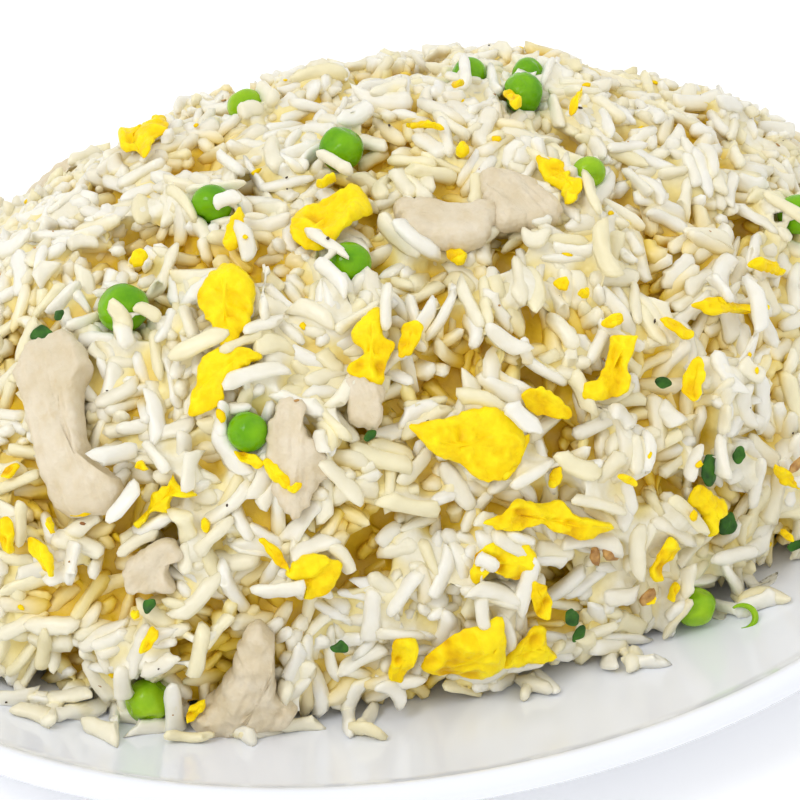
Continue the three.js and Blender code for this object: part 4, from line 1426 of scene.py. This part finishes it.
def plate_profile():
    """Radius along the platter's length, and height, from the middle of its foot round to its well."""
    edge = PLATE_HALF_LENGTH
    foot_inner, foot_outer = edge - FOOT_INNER_INSET, edge - FOOT_OUTER_INSET
    profile = [(0.0, FOOT_RECESS), (foot_inner - 1.4, FOOT_RECESS), (foot_inner - 0.5, FOOT_RECESS - 0.3)]
    profile += [(foot_inner, 0.5), (foot_inner + 0.7, 0.0), (foot_outer - 0.6, 0.0), (foot_outer, 0.4)]
    profile += [(foot_outer + 0.8, FOOT_RECESS)]
    profile += [(edge - inset, float(plate_top(inset + 1) - WALL)) for inset in np.linspace(27, 6, 12)]
    for degrees in np.linspace(-60, 140, 21):
        angle = math.radians(degrees)
        inset, drop = LIP_RADIUS * (1 - math.cos(angle)), LIP_RADIUS * (1 - math.sin(angle))
        profile.append((edge - inset, RIM_HEIGHT - drop))
    profile += [(edge - inset, float(plate_top(inset))) for inset in np.linspace(5.6, WELL_INSET + 4, 26)]
    return profile + [(radius, WELL_HEIGHT) for radius in (55.0, 30.0)]


def make_plate(material):
    segments = 240
    profile = plate_profile()
    points = [[0, 0, FOOT_RECESS]]
    for radius, height in profile[1:]:
        half_width = float(oval_half_width(np.array(radius)))
        for angle in np.arange(segments) / segments * TAU:
            points.append([radius * math.cos(angle), half_width * math.sin(angle), height])
    points.append([0, 0, WELL_HEIGHT])
    faces = tube_faces(len(profile) - 1, segments)
    belongs(make_object("plate_glazed", np.array(points), faces, material), "glaze", "plate")


# ---------------------------------------------------------------- materials

class Shader:
    """A Principled material and the few nodes that its colours and relief come from."""

    def __init__(self, name, roughness, **sockets):
        self.material = bpy.data.materials.new(name)
        self.material.use_nodes = True
        self.tree = self.material.node_tree
        self.principled = self.tree.nodes["Principled BSDF"]
        self.principled.inputs["Roughness"].default_value = roughness
        for socket, value in sockets.items():
            self.principled.inputs[socket.replace("_", " ")].default_value = value

    def link(self, source, target):
        self.tree.links.new(source, target)

    def node(self, kind, **values):
        made = self.tree.nodes.new(kind)
        for key, value in values.items():
            if key in made.inputs:
                made.inputs[key].default_value = value
            else:
                setattr(made, key, value)
        return made

    def noise(self, scale, detail=3.0):
        """Noise over the object's own place, with features 1/scale metres across."""
        texture = self.node("ShaderNodeTexNoise", Scale=scale, Detail=detail)
        self.link(self.node("ShaderNodeTexCoord").outputs["Object"], texture.inputs["Vector"])
        return texture.outputs["Fac"]

    def attribute(self, name):
        return self.node("ShaderNodeAttribute", attribute_name=name).outputs["Fac"]

    def ramp(self, value, stops):
        """Colours at places between 0 and 1 of the value."""
        made = self.node("ShaderNodeValToRGB")
        elements = made.color_ramp.elements
        while len(elements) < len(stops):
            elements.new(0.5)
        for element, (place, colour) in zip(elements, stops):
            element.position = place
            element.color = (*colour, 1)
        self.link(value, made.inputs["Fac"])
        return made.outputs["Color"]

    def mix(self, factor, first, second, blend="MIX"):
        made = self.node("ShaderNodeMix", data_type="RGBA", blend_type=blend)
        for socket, value in ((made.inputs[0], factor), (made.inputs[6], first), (made.inputs[7], second)):
            if isinstance(value, bpy.types.NodeSocket):
                self.link(value, socket)
            elif isinstance(value, tuple):
                socket.default_value = (*value, 1)
            else:
                socket.default_value = value
        return made.outputs[2]

    def tinted(self, first, second):
        return self.mix(1.0, first, second, "MULTIPLY")

    def span(self, value, low, high, out_low=0.0, out_high=1.0):
        """The value carried from one range over to another."""
        made = self.node("ShaderNodeMapRange")
        for place, number in enumerate((low, high, out_low, out_high)):
            made.inputs[1 + place].default_value = number
        self.link(value, made.inputs[0])
        return made.outputs[0]

    def colour(self, source):
        self.link(source, self.principled.inputs["Base Color"])

    def bump(self, height, strength, distance):
        made = self.node("ShaderNodeBump", Strength=strength, Distance=distance)
        self.link(height, made.inputs["Height"])
        self.link(made.outputs["Normal"], self.principled.inputs["Normal"])

    def glow_through(self, weight, radius, scale):
        """Lets this share of the light in, to come out again as far off as radius times scale, in metres."""
        self.principled.subsurface_method = "BURLEY"
        self.principled.inputs["Subsurface Weight"].default_value = weight
        self.principled.inputs["Subsurface Radius"].default_value = radius
        self.principled.inputs["Subsurface Scale"].default_value = scale


# Colours are red, green and blue, linear.
WHITE = (1, 1, 1)
RICE_SURFACES = {"rice_white": (0.875, 0.855, 0.775), "rice_pale": (0.87, 0.84, 0.73),
                 "rice_cream": (0.87, 0.825, 0.655), "rice_warm": (0.865, 0.80, 0.55)}
# Painted shade on the grains: golden where other grains lie close, deeper golden further down in the heap.
RICE_SEAM_PAINTED_SHADE, RICE_DEEP_PAINTED_SHADE = (0.92, 0.82, 0.47), (0.90, 0.66, 0.07)
# The starch's own pale tone near the surface, then painted shade, golden to dark, deeper down.
STARCH_TONE_AND_PAINTED_SHADE = [(0.0, (0.89, 0.86, 0.74)), (0.4, (0.91, 0.79, 0.36)), (1.0, (0.82, 0.56, 0.02))]
# Egg yellow with painted shade, orange, where the relief is low, and painted light, bright yellow, where it
# is high.
CURD_YELLOW_AND_PAINTED_SHADE = [(0.0, (0.74, 0.43, 0.002)), (0.35, (0.95, 0.68, 0.003)), (0.75, (1.0, 0.80, 0.012))]
PEA_GREENS = {"pea": [(0.3, (0.09, 0.30, 0.0008)), (0.72, (0.22, 0.50, 0.002))],
              "pea_light": [(0.3, (0.20, 0.42, 0.003)), (0.72, (0.38, 0.60, 0.015))]}
MEAT_COLOURS = [(0.3, (0.67, 0.57, 0.39)), (0.65, (0.75, 0.66, 0.50))]
MEAT_BROWN = (0.60, 0.42, 0.17)
LEAF_GREENS = [(0.3, (0.008, 0.05, 0.002)), (0.75, (0.05, 0.19, 0.008))]
PEPPER_BROWNS = [(0.3, (0.02, 0.014, 0.008)), (0.7, (0.10, 0.06, 0.03))]
FRIED_BROWNS = [(0.3, (0.28, 0.11, 0.02)), (0.7, (0.62, 0.36, 0.10))]
GLAZE_WHITES = [(0.3, (0.845, 0.875, 0.95)), (0.7, (0.865, 0.89, 0.96))]
FLOOR_GREYS = [(0.3, (0.93, 0.93, 0.93)), (0.7, (0.95, 0.95, 0.95))]


def rice_material(name):
    """Grains: their own pale tones, with painted shade, golden where they lie close and deeper golden further
    down.
    """
    shader = Shader(name, 0.34)
    # Painted shade: golden where other grains lie close.
    closeness = shader.span(shader.attribute("hemmed"), 0.4, 1.0, 0, 0.62)
    # Painted shade: deeper golden further down in the heap.
    depth = shader.span(shader.attribute("depth"), 2.6, 7.5)
    shade = shader.mix(closeness, RICE_SURFACES[name], RICE_SEAM_PAINTED_SHADE)
    shade = shader.mix(depth, shade, RICE_DEEP_PAINTED_SHADE)
    cloud = shader.ramp(shader.noise(330, 2), [(0.3, (0.95, 0.94, 0.90)), (0.7, WHITE)])
    own = shader.ramp(shader.attribute("own"), [(0.0, (0.94, 0.92, 0.86)), (0.5, WHITE)])
    shader.colour(shader.tinted(shader.tinted(shade, cloud), own))
    shader.bump(shader.noise(900, 3), 0.22, 0.0003)
    shader.glow_through(0.3, (1.0, 0.85, 0.45), 0.0012)
    return shader.material


def starch_material():
    starch = Shader("rice_starch", 0.42)
    # Painted shade: the starch turns golden, then dark, the deeper it lies.
    shade = starch.ramp(starch.span(starch.attribute("depth"), 1.0, 5.5), STARCH_TONE_AND_PAINTED_SHADE)
    cloud = starch.ramp(starch.noise(420, 3), [(0.3, (0.90, 0.87, 0.76)), (0.7, WHITE)])
    starch.colour(starch.tinted(shade, cloud))
    starch.bump(starch.noise(800, 3), 0.4, 0.0004)
    return starch.material


def egg_material():
    """Cooked egg yellow, with painted shade, orange, in its dimples and painted light, brighter yellow, on
    its ridges.
    """
    egg = Shader("egg", 0.36, Specular_IOR_Level=0.12)
    # Painted shade where the relief is low, painted light where it is high.
    curd = egg.ramp(egg.span(egg.attribute("raised"), -0.6, 1.0), CURD_YELLOW_AND_PAINTED_SHADE)
    mottled = egg.ramp(egg.noise(420, 4), [(0.28, (0.93, 0.84, 0.7)), (0.6, WHITE)])
    egg.colour(egg.tinted(curd, mottled))
    egg.bump(egg.noise(1000, 5), 0.5, 0.0005)
    egg.glow_through(0.25, (1.0, 0.7, 0.1), 0.0010)
    return egg.material


def pea_material(name):
    pea = Shader(name, 0.13, Specular_IOR_Level=0.24)
    pea.colour(pea.ramp(pea.noise(220, 4), PEA_GREENS[name]))
    pea.bump(pea.noise(900, 4), 0.3, 0.0004)
    pea.glow_through(0.15, (0.5, 1.0, 0.1), 0.0010)
    return pea.material


def chicken_material():
    """Pale meat with streaks, browned in a few patches."""
    chicken = Shader("chicken", 0.5)
    meat = chicken.ramp(chicken.noise(160, 4), MEAT_COLOURS)
    streaks = chicken.ramp(chicken.noise(380, 3), [(0.35, (0.95, 0.92, 0.85)), (0.6, WHITE)])
    browned = chicken.span(chicken.noise(120, 6), 0.64, 0.74, 0, 0.8)
    chicken.colour(chicken.mix(browned, chicken.tinted(meat, streaks), MEAT_BROWN))
    chicken.bump(chicken.noise(900, 5), 0.55, 0.0006)
    chicken.glow_through(0.2, (1.0, 0.75, 0.5), 0.0010)
    return chicken.material


def scallion_material():
    scallion = Shader("scallion", 0.45, Specular_IOR_Level=0.3)
    scallion.colour(scallion.ramp(scallion.noise(500, 3), LEAF_GREENS))
    scallion.bump(scallion.noise(1400, 2), 0.3, 0.0003)
    return scallion.material


def speck_material(name, roughness, scale, colours):
    speck = Shader(name, roughness)
    speck.colour(speck.ramp(speck.noise(scale), colours))
    return speck.material


def glaze_material():
    glaze = Shader("glaze", 0.16, Coat_Weight=0.4, Coat_Roughness=0.05)
    glaze.colour(glaze.ramp(glaze.noise(30, 2), GLAZE_WHITES))
    glaze.bump(glaze.noise(45, 2), 0.05, 0.002)
    return glaze.material


def build_materials():
    made = {name: rice_material(name) for name in RICE_SURFACES}
    made["rice_starch"] = starch_material()
    made["egg"] = egg_material()
    made.update({name: pea_material(name) for name in PEA_GREENS})
    made["chicken"] = chicken_material()
    made["scallion"] = scallion_material()
    made["pepper"] = speck_material("pepper", 0.6, 2000, PEPPER_BROWNS)
    made["browned"] = speck_material("browned", 0.4, 700, FRIED_BROWNS)
    made["glaze"] = glaze_material()
    return made


# ---------------------------------------------------------------- stage

def aim(piece, target):
    direction = np.array(target) - np.array(piece.location)
    piece.rotation_euler = Vector(direction).to_track_quat("-Z", "Y").to_euler()


def key_light():
    """A soft light on the left, high up."""
    light = bpy.data.lights.new("key", "AREA")
    light.shape = "DISK"
    light.size = KEY_SIZE
    light.energy = KEY_POWER
    lamp = bpy.data.objects.new("key", light)
    azimuth, elevation = math.radians(KEY_AZIMUTH), math.radians(KEY_ELEVATION)
    x = KEY_DISTANCE * math.sin(azimuth) * math.cos(elevation)
    y = -KEY_DISTANCE * math.cos(azimuth) * math.cos(elevation)
    lamp.location = (x, y, KEY_DISTANCE * math.sin(elevation))
    bpy.context.scene.collection.objects.link(lamp)
    aim(lamp, (0, 0, 0.03))


def pale_floor():
    floor = Shader("floor", 0.7, Emission_Color=(1, 1, 1, 1), Emission_Strength=FLOOR_GLOW)
    floor.colour(floor.ramp(floor.noise(3, 2), FLOOR_GREYS))
    corners = FLOOR_HALF * np.array([[-1, -1, 0], [1, -1, 0], [1, 1, 0], [-1, 1, 0]])
    piece = make_object("floor", corners, np.array([[0, 1, 2, 3]]), floor.material, smooth=False)


def soft_sky():
    """White light all round, a little stronger from above."""
    world = bpy.data.worlds.new("studio")
    bpy.context.scene.world = world
    world.use_nodes = True
    tree = world.node_tree
    place = tree.nodes.new("ShaderNodeTexCoord").outputs["Generated"]
    split = tree.nodes.new("ShaderNodeSeparateXYZ")
    rise = tree.nodes.new("ShaderNodeMapRange")
    for number, value in enumerate((0.0, 0.8, SKY_LOW, SKY_HIGH), 1):
        rise.inputs[number].default_value = value
    tree.links.new(place, split.inputs[0])
    tree.links.new(split.outputs["Z"], rise.inputs[0])
    tree.links.new(rise.outputs[0], tree.nodes["Background"].inputs["Strength"])
    tree.nodes["Background"].inputs["Color"].default_value = (1, 1, 1, 1)


def build_stage():
    pale_floor()
    soft_sky()
    key_light()
    bpy.context.scene.view_settings.view_transform = "Standard"


def build_camera():
    camera = bpy.data.cameras.new("camera")
    camera.sensor_width = 36.0
    camera.lens = PIXELS_PER_MM * CAMERA_DISTANCE / PICTURE_WIDTH * camera.sensor_width
    camera.clip_start = 0.01
    piece = bpy.data.objects.new("camera", camera)
    piece.location = tuple(EYE * MM)
    bpy.context.scene.collection.objects.link(piece)
    aim(piece, CAMERA_TARGET * MM)
    bpy.context.scene.camera = piece


# ---------------------------------------------------------------- the plate of fried rice

draws = np.random.default_rng(SEED)
materials = build_materials()
make_plate(materials["glaze"])
grains = make_rice(draws, materials)
make_peas(draws, materials)
make_pea_skin(materials["pea_light"])
make_eggs(draws, materials["egg"])
make_egg_shreds(draws, materials["egg"])
make_chicken(draws, materials["chicken"])
make_scallions(draws, materials["scallion"])
make_leaf_snippets(draws, materials["scallion"])
make_crumbs(draws, grains, materials)
build_stage()
build_camera()
